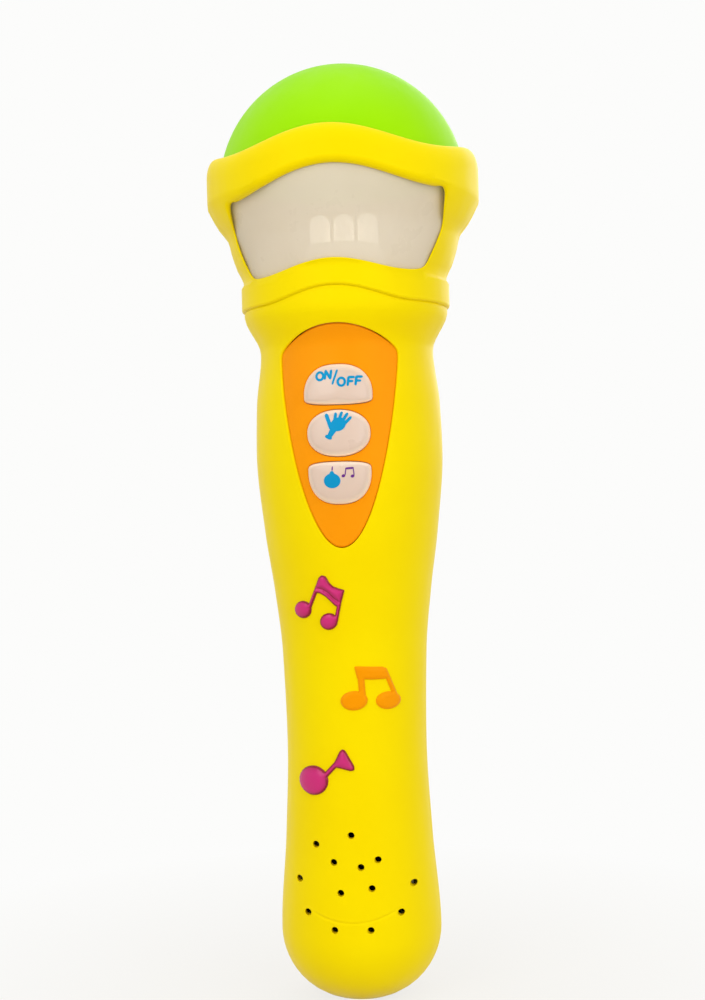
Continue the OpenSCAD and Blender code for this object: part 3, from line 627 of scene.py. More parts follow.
def out_row(up):
    """Normals of a row that lean up by an angle in degrees."""
    a = math.radians(up)
    return ring_row(math.cos(a), math.sin(a))


def well(skin, x, z):
    """A screw well with its boss inside. Returns the loops of the outer and the inner sheet."""
    points, normals = project(outer_r, circle(x, z, WELL_R, 32))
    walls = wall_normals(points, normals, FRONT)
    rows, ways = round_over(points, normals, walls, RIM)
    strip(skin, rows, ways)
    seat = rows[-1] * [1, 0, 1] + FRONT * WELL_SEAT_Y
    strip(skin, [rows[-1], seat], [walls, walls])
    fan(skin, seat, FRONT * WELL_SEAT_Y + [x, 0, z], FRONT)
    top, inward = project(inner_r, circle(x, z, BOSS_R, 32))
    boss = wall_normals(top, inward, FRONT)
    low = top * [1, 0, 1]
    strip(skin, [top, low], [-boss, -boss])
    fan(skin, low, [x, 0, z], -FRONT)
    return (rows[0], normals), (top, -inward)


def ring_crown(skin):
    """The top edge of the upper ring, its bore, and the groove and seat inside. Returns the rows at both ends
    and the points on the seam."""
    height = ring_top(COLUMNS)
    points, normals = place(outer_r, COLUMNS, height)[0], out_row(0)
    walls = wall_normals(points, normals, None, False)
    walls[[0, -1]] = (0, 0, 1)
    rows, ways = [], []
    for a in np.radians(np.linspace(0, 90, 10)):
        rows.append(points - normals * CROWN_IN * (1 - np.cos(a)) - walls * CROWN_DOWN * (1 - np.sin(a)))
        ways.append(unit(normals * np.cos(a) / CROWN_IN + walls * np.sin(a) / CROWN_DOWN))
    strip(skin, rows, ways, False)
    land = ring_row(RING_BORE + CROWN_LIP, height)
    strip(skin, [rows[-1], land], [walls, walls], False)
    inward = -out_row(0)
    bore, turns = round_over(ring_row(RING_BORE, height), walls, inward, CROWN_LIP)
    bore[0] = land
    strip(skin, bore, turns, False)
    steps = [ring_row(RING_BORE, GROOVE_TOP), ring_row(GROOVE_R, GROOVE_TOP), ring_row(GROOVE_R, SEAT_TOP),
             ring_row(SEAT_R, SEAT_TOP)]
    facing = [inward, out_row(-90), inward, out_row(90)]
    for above, below, way in zip([bore[-1]] + steps, steps, facing):
        strip(skin, [above, below], [way, way], False)
    side = [row[-1] for row in rows + list(bore) + steps]
    return rows[0], normals, steps[-1], side


def foot(skin):
    """The flat foot with its rounded edge, and the floor inside. Returns the points on the seam."""
    end = float(body_r(FOOT_Z))
    slope = (BUTT_Z - FOOT_Z) / (end - BUTT_R + BUTT_ARC)
    knee = end - slope * FOOT_Z
    t = np.linspace(0, 1, 7)
    r = (1 - t) ** 2 * FOOT_R + 2 * t * (1 - t) * knee + t ** 2 * end
    z = t ** 2 * FOOT_Z
    lean = np.degrees(np.arctan2(-np.gradient(r), np.gradient(z)))
    rows = [ring_row(a, b) for a, b in zip(r, z)]
    strip(skin, rows, [out_row(a) for a in lean], False)
    down = out_row(-90)
    flat = [ring_row(a, 0) for a in (FOOT_R, CENTRE_ROW, 0)]
    strip(skin, flat, [down] * 3, False)
    inner = [ring_row(a, FLOOR) for a in (float(inner_r(0, FLOOR)), CENTRE_ROW, 0)]
    strip(skin, inner, [-down] * 3, False)
    return [row[-1] for row in flat[::-1] + rows[1:]], [row[-1] for row in inner]


def seam_faces(skin, side):
    """The faces where the half shells meet, one left and one right, from the points of one side."""
    side = np.asarray(side)
    points = np.array([p for p, last in zip(side, np.roll(side, 1, axis=0)) if np.abs(p - last).max() > 1e-4])
    points = points * [1, 0, 1]
    tris = face_of(points[:, [0, 2]])
    for x in (1, -1):
        skin.add_flat(points * [x, 1, 1], tris, -FRONT)


def outer_spots(rear, outline, heights):
    """Spots for the outer sheet: an even grid, and closer rows along the lower ring, the seam and the arc."""
    field = grid(outline, turn=2.5, rise=1.5)
    if not rear:
        x, up = body_r(field[:, 1]) * np.sin(field[:, 0]), field[:, 1] - ARC_Z
        field = field[(np.abs(np.hypot(x, up) - ARC_R) > ARC_WIDE + ARC_CLEAR) | (np.abs(x) > -up)]
    rows = []
    posts = BAND_COLUMNS[np.abs(BAND_COLUMNS) > POST_START]
    for edge, steps, turns in ((BAND_LOW, BAND_LOW_STEPS, BAND_COLUMNS), (BAND_TOP, BAND_TOP_STEPS, posts)):
        off = field[:, 1] - band_edge(field[:, 0], edge)
        field = field[(off < steps[0] - BAND_CLEAR) | (off > steps[-1] + BAND_CLEAR)]
        rows += [joined(turns, band_edge(turns, edge) + d) for d in steps]
    rows += [joined(way, heights) for seam in SEAM_STEPS[:3] for way in (-seam, seam)]
    if not rear:
        turns = np.linspace(-ARC_END, ARC_END, 50)
        for r in ARC_R + np.linspace(-ARC_WIDE, ARC_WIDE, 7):
            x, z = r * np.sin(turns), ARC_Z - r * np.cos(turns)
            rows.append(joined(np.arcsin(x / body_r(z)), z))
    return np.vstack([field] + rows)


def half_outline(low, right, top):
    """The edge of a half shell, as points or as normals, from its lower row, right side and upper row."""
    return np.vstack([low, right, top[::-1], (right * [-1, 1, 1])[::-1]])


def casing(rear):
    """One half of the casing with its openings."""
    skin = Skin(rear)
    top, top_normals, seat, crown_side = ring_crown(skin)
    foot_side, floor_side = foot(skin)
    # Heights of the points along the seam, clear of both ends
    heights = np.concatenate([np.arange(FOOT_Z + 0.8, top[-1][2] - 1, SIDE_STEP),
                              [band_edge(SIDE, BAND_LOW) + d for d in BAND_LOW_STEPS],
                              [band_edge(SIDE, BAND_TOP) + d for d in BAND_TOP_STEPS]])
    heights = np.unique(np.round(heights, 3))
    right, right_normals = place(outer_r, SIDE, heights)
    bottom = ring_row(float(body_r(FOOT_Z)), FOOT_Z)
    bottom_normals = place(outer_r, COLUMNS, FOOT_Z)[1]
    outline = half_outline(bottom, right, top), half_outline(bottom_normals, right_normals, top_normals)
    inner_right, right_way = place(inner_r, SIDE, np.arange(FLOOR + 3, SEAT_TOP - 2, LINING_STEP))
    inner_low, low_way = place(inner_r, COLUMNS, FLOOR)
    lining = half_outline(inner_low, inner_right, seat), half_outline(-low_way, -right_way, -out_row(0))
    seam_faces(skin, foot_side + list(right) + crown_side + list(inner_right[::-1]) + floor_side)

    rims = [straight_opening(skin, window_outline(), WINDOW_RIM, WINDOW_RIM_ABOVE)]
    if rear:
        rims += [well(skin, x, z) for x, z in WELLS]
        rims.append(opening(skin, outer_r, door_outline(DOOR_GAP), WALL, RIM))
    else:
        rims.append(opening(skin, outer_r, panel_outline(0), WALL, RIM))
        rims += [straight_opening(skin, circle(x, z, SOUND_HOLE_R, 20), SOUND_RIM) for x, z in SOUND_HOLES]
    fronts, backs = zip(*rims)
    spots = outer_spots(rear, outline, heights)
    sheet(skin, outer_r if rear else front_r, [outline, *fronts], spots, clear=0.3)
    sheet(skin, inner_r, [lining, *backs], grid(lining, turn=6, rise=4), clear=1.0, facing=-1)
    return skin


def block(skin, low, high):
    """A plain rib inside the casing, seen only with the door open."""
    ends = np.array([low, high], float)
    for axis in range(3):
        a, b = [k for k in range(3) if k != axis]
        for end, way in zip(ends, (-1, 1)):
            corners = np.tile(end, (4, 1))
            corners[:, a] = ends[[0, 1, 1, 0], a]
            corners[:, b] = ends[[0, 0, 1, 1], b]
            skin.add_flat(corners, [(0, 1, 2, 3)], way * np.eye(3)[axis])


def battery_tray(skin):
    """The floor and end walls of the battery box and the boss of the door screw, drawn as if in front."""
    (low, _), (high, _) = TRAY_WALLS
    block(skin, (-TRAY_HALF, TRAY_Y - TRAY_FLOOR, low + LAP),
          (TRAY_HALF, TRAY_Y + LAP, high + TRAY_WALL - LAP))
    for z, reach in TRAY_WALLS:
        r = float(body_r(z)) - WALL / 2
        angles = np.radians(np.linspace(90, -90, 25))
        edge = np.vstack([joined(r * np.sin(angles), np.maximum(-r * np.cos(angles), -reach)),
                          [(-TRAY_HALF, 0), (-TRAY_HALF, TRAY_Y), (TRAY_HALF, TRAY_Y), (TRAY_HALF, 0)]])
        levels = (z, z + TRAY_WALL)
        tris = face_of(edge)
        for level, way in zip(levels, (-1, 1)):
            skin.add_flat(joined(*edge.T, level), tris, [0, 0, way])
        for a, b in zip(edge, np.roll(edge, -1, axis=0)):
            out = unit(np.array([a[1] - b[1], b[0] - a[0], 0]))
            if np.dot(out[:2], a + b) < 0:
                out = -out
            corners = [(*spot, level) for level, spots in zip(levels, ((a, b), (b, a))) for spot in spots]
            skin.add_flat(corners, [(0, 1, 2, 3)], out)
    top = float(body_r(DOOR_SCREW_Z)) - DOOR_BOSS_SUNK
    corners = [(DOOR_BOSS_R, DOOR_BOSS_LOW), (DOOR_BOSS_R, top), (DOOR_BOSS_BORE, top),
               (DOOR_BOSS_BORE, DOOR_BOSS_LOW)]
    turned(skin, zip(corners, corners[1:] + corners[:1]), axis_y=DOOR_SCREW_Z, steps=32)


# Buttons

def cap_height(inset, s):
    """Height of a cap above the casing, from the distance inside its edge and the share of the way out."""
    edge = CAP_ROUND - np.sqrt(np.maximum(CAP_ROUND ** 2 - np.maximum(CAP_ROUND - inset, 0) ** 2, 0))
    return CAP_PROUD - CAP_CROWN * s ** 2 - edge


def cap_middle(size):
    """The middle of a cap, nearer to its flat side."""
    half, tall, foot_z, flat = size
    return np.array([0, foot_z + tall * {1: 0.36, 0: 0.5, -1: 0.64}[flat]])


def lifted(outline, height):
    """Points over the casing's outline, raised by a height."""
    x, z = np.asarray(outline, float).T
    r = body_r(z) + height
    return joined(x, -np.sqrt(r ** 2 - x ** 2), z)


def cap(size):
    """A pillow of rings from the wall over the rounded edge to the middle."""
    skin = Skin()
    loop = cap_outline(size, 0)
    middle = cap_middle(size)
    reach = np.linalg.norm(loop - middle, axis=1)[:, None]

    def ring(s, inset):
        return lifted(middle + (loop - middle) * s, cap_height(inset, s[:, 0]))

    rows = [lifted(loop, -depth) for depth in CAP_DEPTHS]
    rows += [ring(1 - inset / reach, inset) for inset in CAP_INSETS]
    rows += [ring((1 - CAP_ROUND / reach) * share, CAP_ROUND) for share in CAP_SHARES]
    points = np.vstack(rows + [lifted([middle], CAP_PROUD)])
    width = len(loop)
    last = (len(rows) - 1) * width
    peak = [(last + i, last + (i + 1) % width, len(points) - 1) for i in range(width)]
    skin.add(points, quads(len(rows), width) + peak)
    fan(skin, rows[0], rows[0].mean(axis=0), -FRONT)
    return skin


def cap_top(size):
    """The top of a cap as a surface for prints: points and normals at (x, height)."""
    loop = cap_outline(size, 0)
    middle = cap_middle(size)
    turns = np.arctan2(loop[:, 1] - middle[1], loop[:, 0])
    order = np.argsort(turns)
    reaches = np.linalg.norm(loop - middle, axis=1)[order]
    turns = turns[order]

    def surface(spots):
        off = np.asarray(spots, float) - middle
        far = np.linalg.norm(off, axis=1)
        reach = np.interp(np.arctan2(off[:, 1], off[:, 0]), turns, reaches, period=2 * math.pi)
        points = lifted(spots, cap_height(reach - far, far / reach))
        return points, unit(points * [1, 1, 0])
    return surface


# Reliefs and prints, from outlines on the front

def on_casing(spots):
    return project(sunk(0), spots)


def stroke(a, b, width_a, width_b=None):
    """A stroke between two points with round ends."""
    a, b = np.array(a, float), np.array(b, float)
    width_b = width_a if width_b is None else width_b
    turn = math.degrees(math.atan2(*(b - a)[::-1]))
    head = arc(b, width_b / 2, turn - 90, turn + 90, 8)
    return np.array(head + arc(a, width_a / 2, turn + 90, turn + 270, 8))


def blob(x, z, half_w, half_h, tilt=0):
    """A tilted oval."""
    a = np.radians(np.arange(0, 360, 10))
    t = math.radians(tilt)
    u, v = half_w * np.cos(a), half_h * np.sin(a)
    return joined(x + u * math.cos(t) - v * math.sin(t), z + u * math.sin(t) + v * math.cos(t))


def off_lines(spots, a, b):
    """The distance of each spot from the nearest of the lines from a to b."""
    way = b - a
    t = np.einsum("vij,ij->vi", spots[:, None] - a, way) / np.maximum((way ** 2).sum(axis=1), 1e-12)
    return np.linalg.norm(spots[:, None] - a - np.clip(t, 0, 1)[..., None] * way, axis=2).min(axis=1)


def relief(skin, shapes, surface, profile, spacing, root, crease=()):
    """A raised print: the union of flat shapes on a surface, with a height that depends on the distance from
    the edge, on a root below the surface. A crease is a line of points where the height drops again."""
    shapes = [soften(s, spacing, 1) for s in shapes]
    spots = np.vstack(shapes)
    field = joined(*np.meshgrid(*(np.arange(v.min(), v.max(), spacing) for v in spots.T))).reshape(-1, 2)
    tree = nearest(joined(*spots.T, 0))
    field = np.array([p for p in field if tree.find((*p, 0))[2] > 0.6 * spacing]).reshape(-1, 2)
    ends = np.cumsum([len(s) for s in shapes])
    loops = [range(end - len(s), end) for s, end in zip(shapes, ends)]
    flat, tris, _ = filled(np.vstack([spots, field]), loops)
    tris = tris.tolist()
    thirds = {}
    for f in tris:
        for i in range(3):
            thirds.setdefault(tuple(sorted((f[i], f[i - 1]))), []).append(f[i - 2])
    rim = {edge: corners[0] for edge, corners in thirds.items() if len(corners) == 1}
    away = off_lines(flat, *flat[np.array(list(rim)).T])
    if len(crease):
        away = np.minimum(away, CREASE_EDGE + off_lines(flat, crease[:-1], crease[1:]))
    base, normals = surface(flat)
    top = base + normals * profile(away)[:, None]
    deep = base - normals * root
    skin.add(top, tris)
    skin.add(deep, tris, None, -FRONT)
    for (i, j), third in rim.items():
        out = (flat[i] + flat[j]) / 2 - flat[third]
        skin.add_flat([top[i], top[j], deep[j], deep[i]], [(0, 1, 2, 3)], [out[0], 0, out[1]])


def pillow(height, r, wall=0.15):
    """The height of a relief with a rounded edge of radius r."""
    return lambda away: wall + (height - wall) * np.sqrt(1 - (1 - np.clip(away / r, 0, 1)) ** 2)


def ink(away):
    return INK_THICK + 0 * away


def upper_note():
    """Two heads, two stems and a wavy beam."""
    at = NOTE_UPPER
    beam = [(-1.8, 0.5), (-0.6, 0.5), (0.9, -0.4), (2.2, -1.7), (3.2, -2.7), (4.3, -2.8), (5.5, 1.2),
            (4.1, 1.6), (2.8, 2.1), (1.9, 3.0), (1.1, 4.5), (0.1, 4.8), (-0.7, 4.2)]
    return [blob(*at + [-5, -3.5], 2.2, 2.1, 20), blob(*at + [1.4, -6.3], 2.2, 2.0, 20),
            stroke(at + [-3.5, -3.4], at + [-0.4, 3.6], 0.9), stroke(at + [3.2, -6.0], at + [4.7, 0.6], 0.9),
            at + beam]


def middle_note():
    """Two heads, two stems and a straight beam."""
    at = NOTE_MIDDLE
    beam = [(-2.6, 1.9), (0.6, 1.6), (4.4, 1.6), (3.6, 4.5), (0.4, 4.7), (-3.2, 4.9)]
    return [blob(*at + [-3.5, -3.3], 3.2, 2.3, 4), blob(*at + [4.4, -3.6], 2.8, 2.1, 0),
            stroke(at + [-1.4, -3], at + [-1.8, 3.6], 1.5), stroke(at + [6.3, -3.2], at + [3.8, 3.8], 1.0),
            at + beam]


def lower_note():
    """One head, a stem and a flag."""
    at = NOTE_LOWER
    flag = [(0.1, 0.9), (2.4, 0.5), (4.7, -0.1), (5.6, 0.2), (5.5, 1.2), (4.5, 3.0), (3.5, 4.8), (2.8, 5.2),
            (2.1, 4.6), (1.2, 2.8)]
    return [blob(*at + [-4.6, -2.6], 3.8, 3.5, 20), stroke(at + [-1.9, -1.6], at + [1.4, 1.8], 1.2),
            at + flag]


def pen(*points):
    """Strokes of a letter from point to point."""
    return [stroke(a, b, LETTER_WIDE) for a, b in zip(points, points[1:])]


def letter_o(x, z, w=1.7):
    points = [(x + w / 2 * math.cos(a), z + LETTER_TALL / 2 * math.sin(a))
              for a in np.radians(np.arange(-30, 360, 30))]
    return pen(*points)


def letter_n(x, z):
    low, high = z - LETTER_TALL / 2, z + LETTER_TALL / 2
    return pen((x - 0.7, low), (x - 0.5, high), (x + 0.6, low), (x + 0.8, high))


def letter_f(x, z, slant=0.2):
    low, high = np.array([x, z - LETTER_TALL / 2]), np.array([x + slant, z + LETTER_TALL / 2])
    middle = (low + high) / 2
    return pen(low, high, high + [1.25, 0]) + pen(middle, middle + [1.0, 0])


def on_off_print():
    """The two words of the switch and the slash between them."""
    return [*letter_o(-3.9, 151.6), *letter_n(-2.0, 151.9), stroke((-0.9, 149.6), (0.2, 152.9), SLASH_WIDE),
            *letter_o(1.2, 150.1), *letter_f(2.7, 150.2), *letter_f(4.5, 150.3)]


def hand_print():
    """An open hand that points up to the right, with a thumb and a cuff."""
    palm = np.array([-0.1, 139.8])
    fingers = [((-0.4, 1.0), (-0.2, 2.9)), ((0.5, 1.1), (1.2, 3.1)), ((1.3, 0.9), (2.5, 2.8)),
               ((1.8, 0.4), (3.3, 1.9))]
    return [blob(*palm + [0.4, 0.35], 1.9, 1.6, 25),
            *(stroke(palm + a, palm + b, 0.8, 0.7) for a, b in fingers),
            stroke(palm + [-1.3, -0.5], palm + [-2.4, 2.6], 1.0, 0.9),
            stroke(palm + [-0.7, -0.8], palm + [-1.8, -2.5], 1.6, 1.1),
            stroke(palm + [-2.4, -2.4], palm + [-1.5, -2.8], 0.9)]


def fruit_print():
    """A round fruit with a pointed crown."""
    crown = np.array([(-0.9, -0.3), (0.9, -0.3), (0.15, 0.8), (-0.15, 0.8)])
    return [blob(-1.5, 127.0, 2.0, 1.75), crown + [-1.5, 128.6]]


def tune_print():
    """The stem of the fruit and a pair of small notes."""
    return [stroke((-1.45, 129.4), (-1.35, 130.3), 0.3),
            blob(1.2, 128.1, 0.5, 0.38, 20), blob(3.3, 128.0, 0.5, 0.38, 20),
            stroke((1.6, 128.2), (1.8, 129.8), 0.25), stroke((3.7, 128.1), (3.5, 129.9), 0.25),
            stroke((1.8, 129.8), (3.5, 129.9), 0.5)]


# Materials

def srgb(*colour):
    """A colour given as 0 to 255, made linear."""
    shares = [c / 255 for c in colour]
    return (*(c / 12.92 if c <= 0.04045 else ((c + 0.055) / 1.055) ** 2.4 for c in shares), 1)


class Nodes:
    """The nodes of a material or a world, and short ways to add to them."""

    def __init__(self, owner):
        self.owner = owner
        owner.use_nodes = True
        self.nodes = owner.node_tree.nodes

    def fill(self, node, inputs):
        """Gives inputs of a node a value, or links them to another node's output."""
        for name, value in inputs.items():
            if isinstance(value, bpy.types.NodeSocket):
                self.owner.node_tree.links.new(value, node.inputs[name])
            else:
                node.inputs[name].default_value = value

    def add(self, kind, inputs=None, **settings):
        node = self.nodes.new(kind)
        for name, value in settings.items():
            setattr(node, name, value)
        self.fill(node, inputs or {})
        return node.outputs

    def spot(self, output="Object"):
        return self.add("ShaderNodeTexCoord")[output]

    def vector(self, operation, *inputs):
        return self.add("ShaderNodeVectorMath", dict(enumerate(inputs)), operation=operation)

    def noise(self, scale, detail=3.0, rough=0.55, stretch=None):
        where = self.spot()
        if stretch:
            where = self.add("ShaderNodeMapping", {"Vector": where, "Scale": stretch})["Vector"]
        values = {"Vector": where, "Scale": scale, "Detail": detail, "Roughness": rough}
        return self.add("ShaderNodeTexNoise", values)["Fac"]

    def ramp(self, fac, *stops):
        node = self.nodes.new("ShaderNodeValToRGB")
        while len(node.color_ramp.elements) < len(stops):
            node.color_ramp.elements.new(0.5)
        for element, (at, colour) in zip(node.color_ramp.elements, stops):
            element.position = at
            element.color = srgb(*colour)
        self.fill(node, {"Fac": fac})
        return node.outputs["Color"]

    def span(self, fac, low, high, start=0.3, end=0.7):
        values = {"Value": fac, "From Min": start, "From Max": end, "To Min": low, "To Max": high}
        return self.add("ShaderNodeMapRange", values)["Result"]

    def bump(self, height, strength, distance=0.0001):
        values = {"Height": height, "Strength": strength, "Distance": distance}
        return self.add("ShaderNodeBump", values)["Normal"]

    def mix(self, output, share, usual, seen):
        """Shows a mix of two shaders."""
        mixed = self.add("ShaderNodeMixShader", {0: share, 1: usual, 2: seen})
        self.fill(self.nodes[output], {"Surface": mixed["Shader"]})

    def finish(self, **values):
        """Sets the shader's inputs and returns the material."""
        self.fill(self.nodes["Principled BSDF"], {name.replace("_", " "): v for name, v in values.items()})
        return self.owner


def new_material(name):
    return Nodes(bpy.data.materials.new(name))


def moulded(name, colour, shade, rough=0.36, grain=900, strength=0.06, sheen=(1, 1, 1), **values):
    """Moulded plastic: a faint drift of colour, uneven gloss and a fine skin. sheen tints its reflections."""
    m = new_material(name)
    return m.finish(
        Base_Color=m.ramp(m.noise(28, 4), (0.3, shade), (0.7, colour)),
        Roughness=m.span(m.noise(160, 6, 0.7, (1, 1, 0.25)), rough - 0.06, rough + 0.1),
        Normal=m.bump(m.noise(grain, 3), strength),
        Specular_Tint=(*sheen, 1), **{"Specular_IOR_Level": 0.25, **values})


def domed_painted_rims(name, colour, edge, rough, sheen, steep=0.78, level_off=0.985, **values):
    """Glossy raised plastic, whose colour turns into that of its edge where it leans away from the casing.
    The edge colour is painted light on the caps' rims and painted shade on the purple notes' edges.
    """
    m = new_material(name)
    out = m.vector("NORMALIZE", m.vector("MULTIPLY", m.spot(), (1, 1, 0))["Vector"])["Vector"]
    lean = m.vector("DOT_PRODUCT", out, m.spot("Normal"))["Value"]
    return m.finish(
        Base_Color=m.ramp(lean, (steep, edge), (level_off, colour)),
        Roughness=m.span(m.noise(160, 6, 0.7), rough - 0.06, rough + 0.1),
        Normal=m.bump(m.noise(500, 3), 0.03),
        Specular_IOR_Level=0.5, Specular_Tint=(*sheen, 1), **values)


def metal(name, colour, rough=0.3):
    """Plated metal with fine drawn lines."""
    m = new_material(name)
    dark = [int(0.8 * c) for c in colour]
    return m.finish(
        Base_Color=m.ramp(m.noise(300, 4), (0.3, dark), (0.7, colour)),
        Roughness=m.span(m.noise(700, 4, 0.6, (1, 1, 0.1)), rough - 0.1, rough + 0.12),
        Normal=m.bump(m.noise(1500, 2), 0.05, 0.00005), Metallic=1.0)


def milky(name):
    """Milky plastic of the light window, thin enough to show pale shapes behind it."""
    m = new_material(name)
    return m.finish(
        Base_Color=m.ramp(m.noise(40, 4), (0.2, (240, 226, 206)), (0.8, (247, 236, 219))),
        Roughness=m.span(m.noise(120, 4), 0.24, 0.36),
        Normal=m.bump(m.noise(700, 2), 0.03), Alpha=0.64, Specular_IOR_Level=0.3)


def wrapped_cell(name, plus_up):
    """The plain foil of a cell, with a bright band at its plus end."""
    m = new_material(name)
    height = m.add("ShaderNodeSeparateXYZ", {"Vector": m.spot()})["Z"]
    share = m.span(height, *((0, 1) if plus_up else (1, 0)), 0.052, 0.104)
    return m.finish(
        Base_Color=m.ramp(share, (0.0, (58, 88, 136)), (0.8, (62, 94, 144)), (0.81, (204, 206, 210)),
                          (1.0, (210, 212, 216))),
        Roughness=m.span(m.noise(200, 4), 0.22, 0.34),
        Normal=m.bump(m.noise(400, 2), 0.02), Metallic=0.2)


YELLOW = moulded("yellow_plastic", (247, 224, 2), (244, 217, 1), 0.42, sheen=(1, 0.8, 0.06),
                 Specular_IOR_Level=0.17)
GREEN = moulded("green_plastic", (158, 227, 2), (150, 223, 1), 0.46, sheen=(0.7, 1, 0.08),
                Specular_IOR_Level=0.17)
ORANGE = moulded("orange_plastic", (248, 156, 12), (246, 147, 6), 0.4, sheen=(1, 0.6, 0.1))
# The caps' rounded rims take a paler edge colour where they lean away: a painted highlight.
CAP_WHITE = domed_painted_rims("cap_plastic", (220, 196, 180), (255, 240, 222), 0.3, (1, 1, 1), 0.5, 0.94,
                  Subsurface_Weight=0.15, Subsurface_Radius=(0.002, 0.0014, 0.001))
# The purple notes' rounded edges take a dark red edge colour where they lean away: painted shade.
PURPLE = domed_painted_rims("purple_plastic", (200, 38, 116), (136, 14, 38), 0.2, (1, 0.5, 0.7))
NOTE_ORANGE = moulded("note_orange", (246, 156, 4), (242, 146, 2), 0.34, 500, 0.03, sheen=(1, 0.6, 0.1))
BLUE_INK = moulded("blue_ink", (18, 150, 204), (10, 142, 196), 0.4, sheen=(0.2, 0.7, 1))
PURPLE_INK = moulded("purple_ink", (112, 56, 140), (100, 48, 128), 0.4, sheen=(0.7, 0.4, 1))
MILKY = milky("milky_plastic")
WHITE = moulded("white_plastic", (238, 236, 228), (230, 228, 220), 0.4)
# The LEDs glow faintly although they are switched off: painted light, so that they show as pale shapes behind
# the light window.
LED_PAINTED_GLOW = moulded("clear_lamp", (250, 246, 232), (244, 240, 226), 0.12, Specular_IOR_Level=0.6,
               Emission_Color=(1, 0.97, 0.9, 1), Emission_Strength=0.7)
# The plate under the LEDs glows faintly too: painted light that brightens it behind the light window.
LAMP_PLATE_PAINTED_GLOW = moulded("lamp_base_painted_glow", (238, 236, 228), (230, 228, 220), 0.4, Emission_Color=(1, 0.97, 0.88, 1),
                    Emission_Strength=0.35)
RUBBER = moulded("key_rubber", (120, 120, 118), (104, 104, 102), 0.6)
BOARD = moulded("board_laminate", (40, 112, 62), (30, 96, 52), 0.42)
RESIN = moulded("black_resin", (24, 24, 26), (16, 16, 18), 0.22)
FILM = moulded("black_film", (34, 33, 32), (24, 24, 24), 0.5)
ZINC = metal("zinc_steel", (196, 198, 202))
CONTACT = metal("contact_metal", (206, 204, 196), 0.24)
CELL_PLUS_UP = wrapped_cell("cell_plus_up", True)
CELL_PLUS_DOWN = wrapped_cell("cell_plus_down", False)
RED_WIRE = moulded("red_wire", (186, 26, 24), (170, 20, 20), 0.4)
BLACK_WIRE = moulded("black_wire", (30, 30, 32), (22, 22, 24), 0.4)
WHITE_WIRE = moulded("white_wire", (228, 226, 220), (218, 216, 210), 0.4)

# Pieces

casing(False).piece("casing_front", YELLOW, "casing", "yellow_plastic", "front_shell")
back = casing(True)
battery_tray(back)
back.piece("casing_rear", YELLOW, "casing", "yellow_plastic", "rear_shell")

dome = Skin()
inner_dome = DOME_R - DOME_WALL
outer_start = math.degrees(math.asin((FLANGE_TOP - DOME_Z) / DOME_R))
inner_start = math.degrees(math.asin((FLANGE_LOW - DOME_Z) / inner_dome))
outside = arc((0, DOME_Z), DOME_R, outer_start, 90, 40)
lining = arc((0, DOME_Z), inner_dome, 90, inner_start, 24)
turned(dome, [[(FLANGE_R, FLANGE_LOW), (FLANGE_R, FLANGE_TOP)], [(FLANGE_R, FLANGE_TOP), outside[0]], outside,
              lining, [lining[-1], (FLANGE_R, FLANGE_LOW)]])
dome.piece("dome", GREEN, "casing", "green_plastic", "dome_cap")

lens = Skin()
lens_z = np.linspace(LENS[0][0], LENS[-1][0], LENS_ROWS)
lens_r = np.interp(lens_z, *LENS.T)
for _ in range(LENS_PASSES):
    lens_r[1:-1] = (lens_r[:-2] + 2 * lens_r[1:-1] + lens_r[2:]) / 4
outside = joined(lens_r, lens_z)
lining = outside[::-1] - [LENS_WALL, 0]
turned(lens, [outside, [outside[-1], lining[0]], lining, [lining[-1], outside[0]]])
lens.piece("lens", MILKY, "casing", "milky_plastic", "light_diffuser")

panel = Skin()
cap_holes = [cap_outline(size, CAP_GAP) for size in CAPS.values()]
plate(panel, panel_outline(-PANEL_GAP), cap_holes, PANEL_SUNK, PANEL_THICK, PANEL_EDGE, RIM)
panel.piece("panel", ORANGE, "casing", "orange_plastic", "control_panel")

for name, size in CAPS.items():
    key = name.replace("button_", "")
    cap(size).piece("cap_" + key, CAP_WHITE, key + "_key", "cap_plastic", name)

for name, shapes, key, colour in (
        ("print_on_off", on_off_print(), "power", BLUE_INK),
        ("print_hand", hand_print(), "applause", BLUE_INK),
        ("print_fruit", fruit_print(), "music", BLUE_INK),
        ("print_tune", tune_print(), "music", PURPLE_INK)):
    mark = Skin()
    relief(mark, shapes, cap_top(CAPS["button_" + key]), ink, INK_STEP, INK_ROOT)
    mark.piece(name, colour, key + "_key", "cap_plastic")

for name, shapes, profile, crease, finish, finish_slot in (
        ("note_upper", upper_note(), pillow(height=0.9, r=2.2), UPPER_CREASE, PURPLE, "purple_plastic"),
        ("note_middle", middle_note(), pillow(height=0.6, r=1.1), (), NOTE_ORANGE, "note_orange"),
        ("note_lower", lower_note(), pillow(height=1.1, r=3.4), (), PURPLE, "purple_plastic")):
    note = Skin()
    relief(note, shapes, on_casing, profile, NOTE_STEP, NOTE_ROOT, crease)
    note.piece("relief_" + name, finish, "casing", finish_slot, name)

door = Skin(True)
plate(door, door_outline(0), [circle(0, DOOR_SCREW_Z, DOOR_SCREW_R)], 0, WALL, DOOR_EDGE, DOOR_EDGE)
for x in (-TAB_X, TAB_X):
    root_half = TAB_HALF - LAP
    block(door, (x - TAB_HALF, TAB_OUT_Y, DOOR_LOW - TAB_DOWN), (x + TAB_HALF, TAB_IN_Y, DOOR_LOW + TAB_UP))
    block(door, (x - root_half, TAB_ROOT_Y, DOOR_LOW + TAB_ROOT_UP),
          (x + root_half, TAB_IN_Y - LAP, DOOR_LOW + TAB_UP - LAP))
door.piece("door_cover", YELLOW, "door", "yellow_plastic", "battery_door")


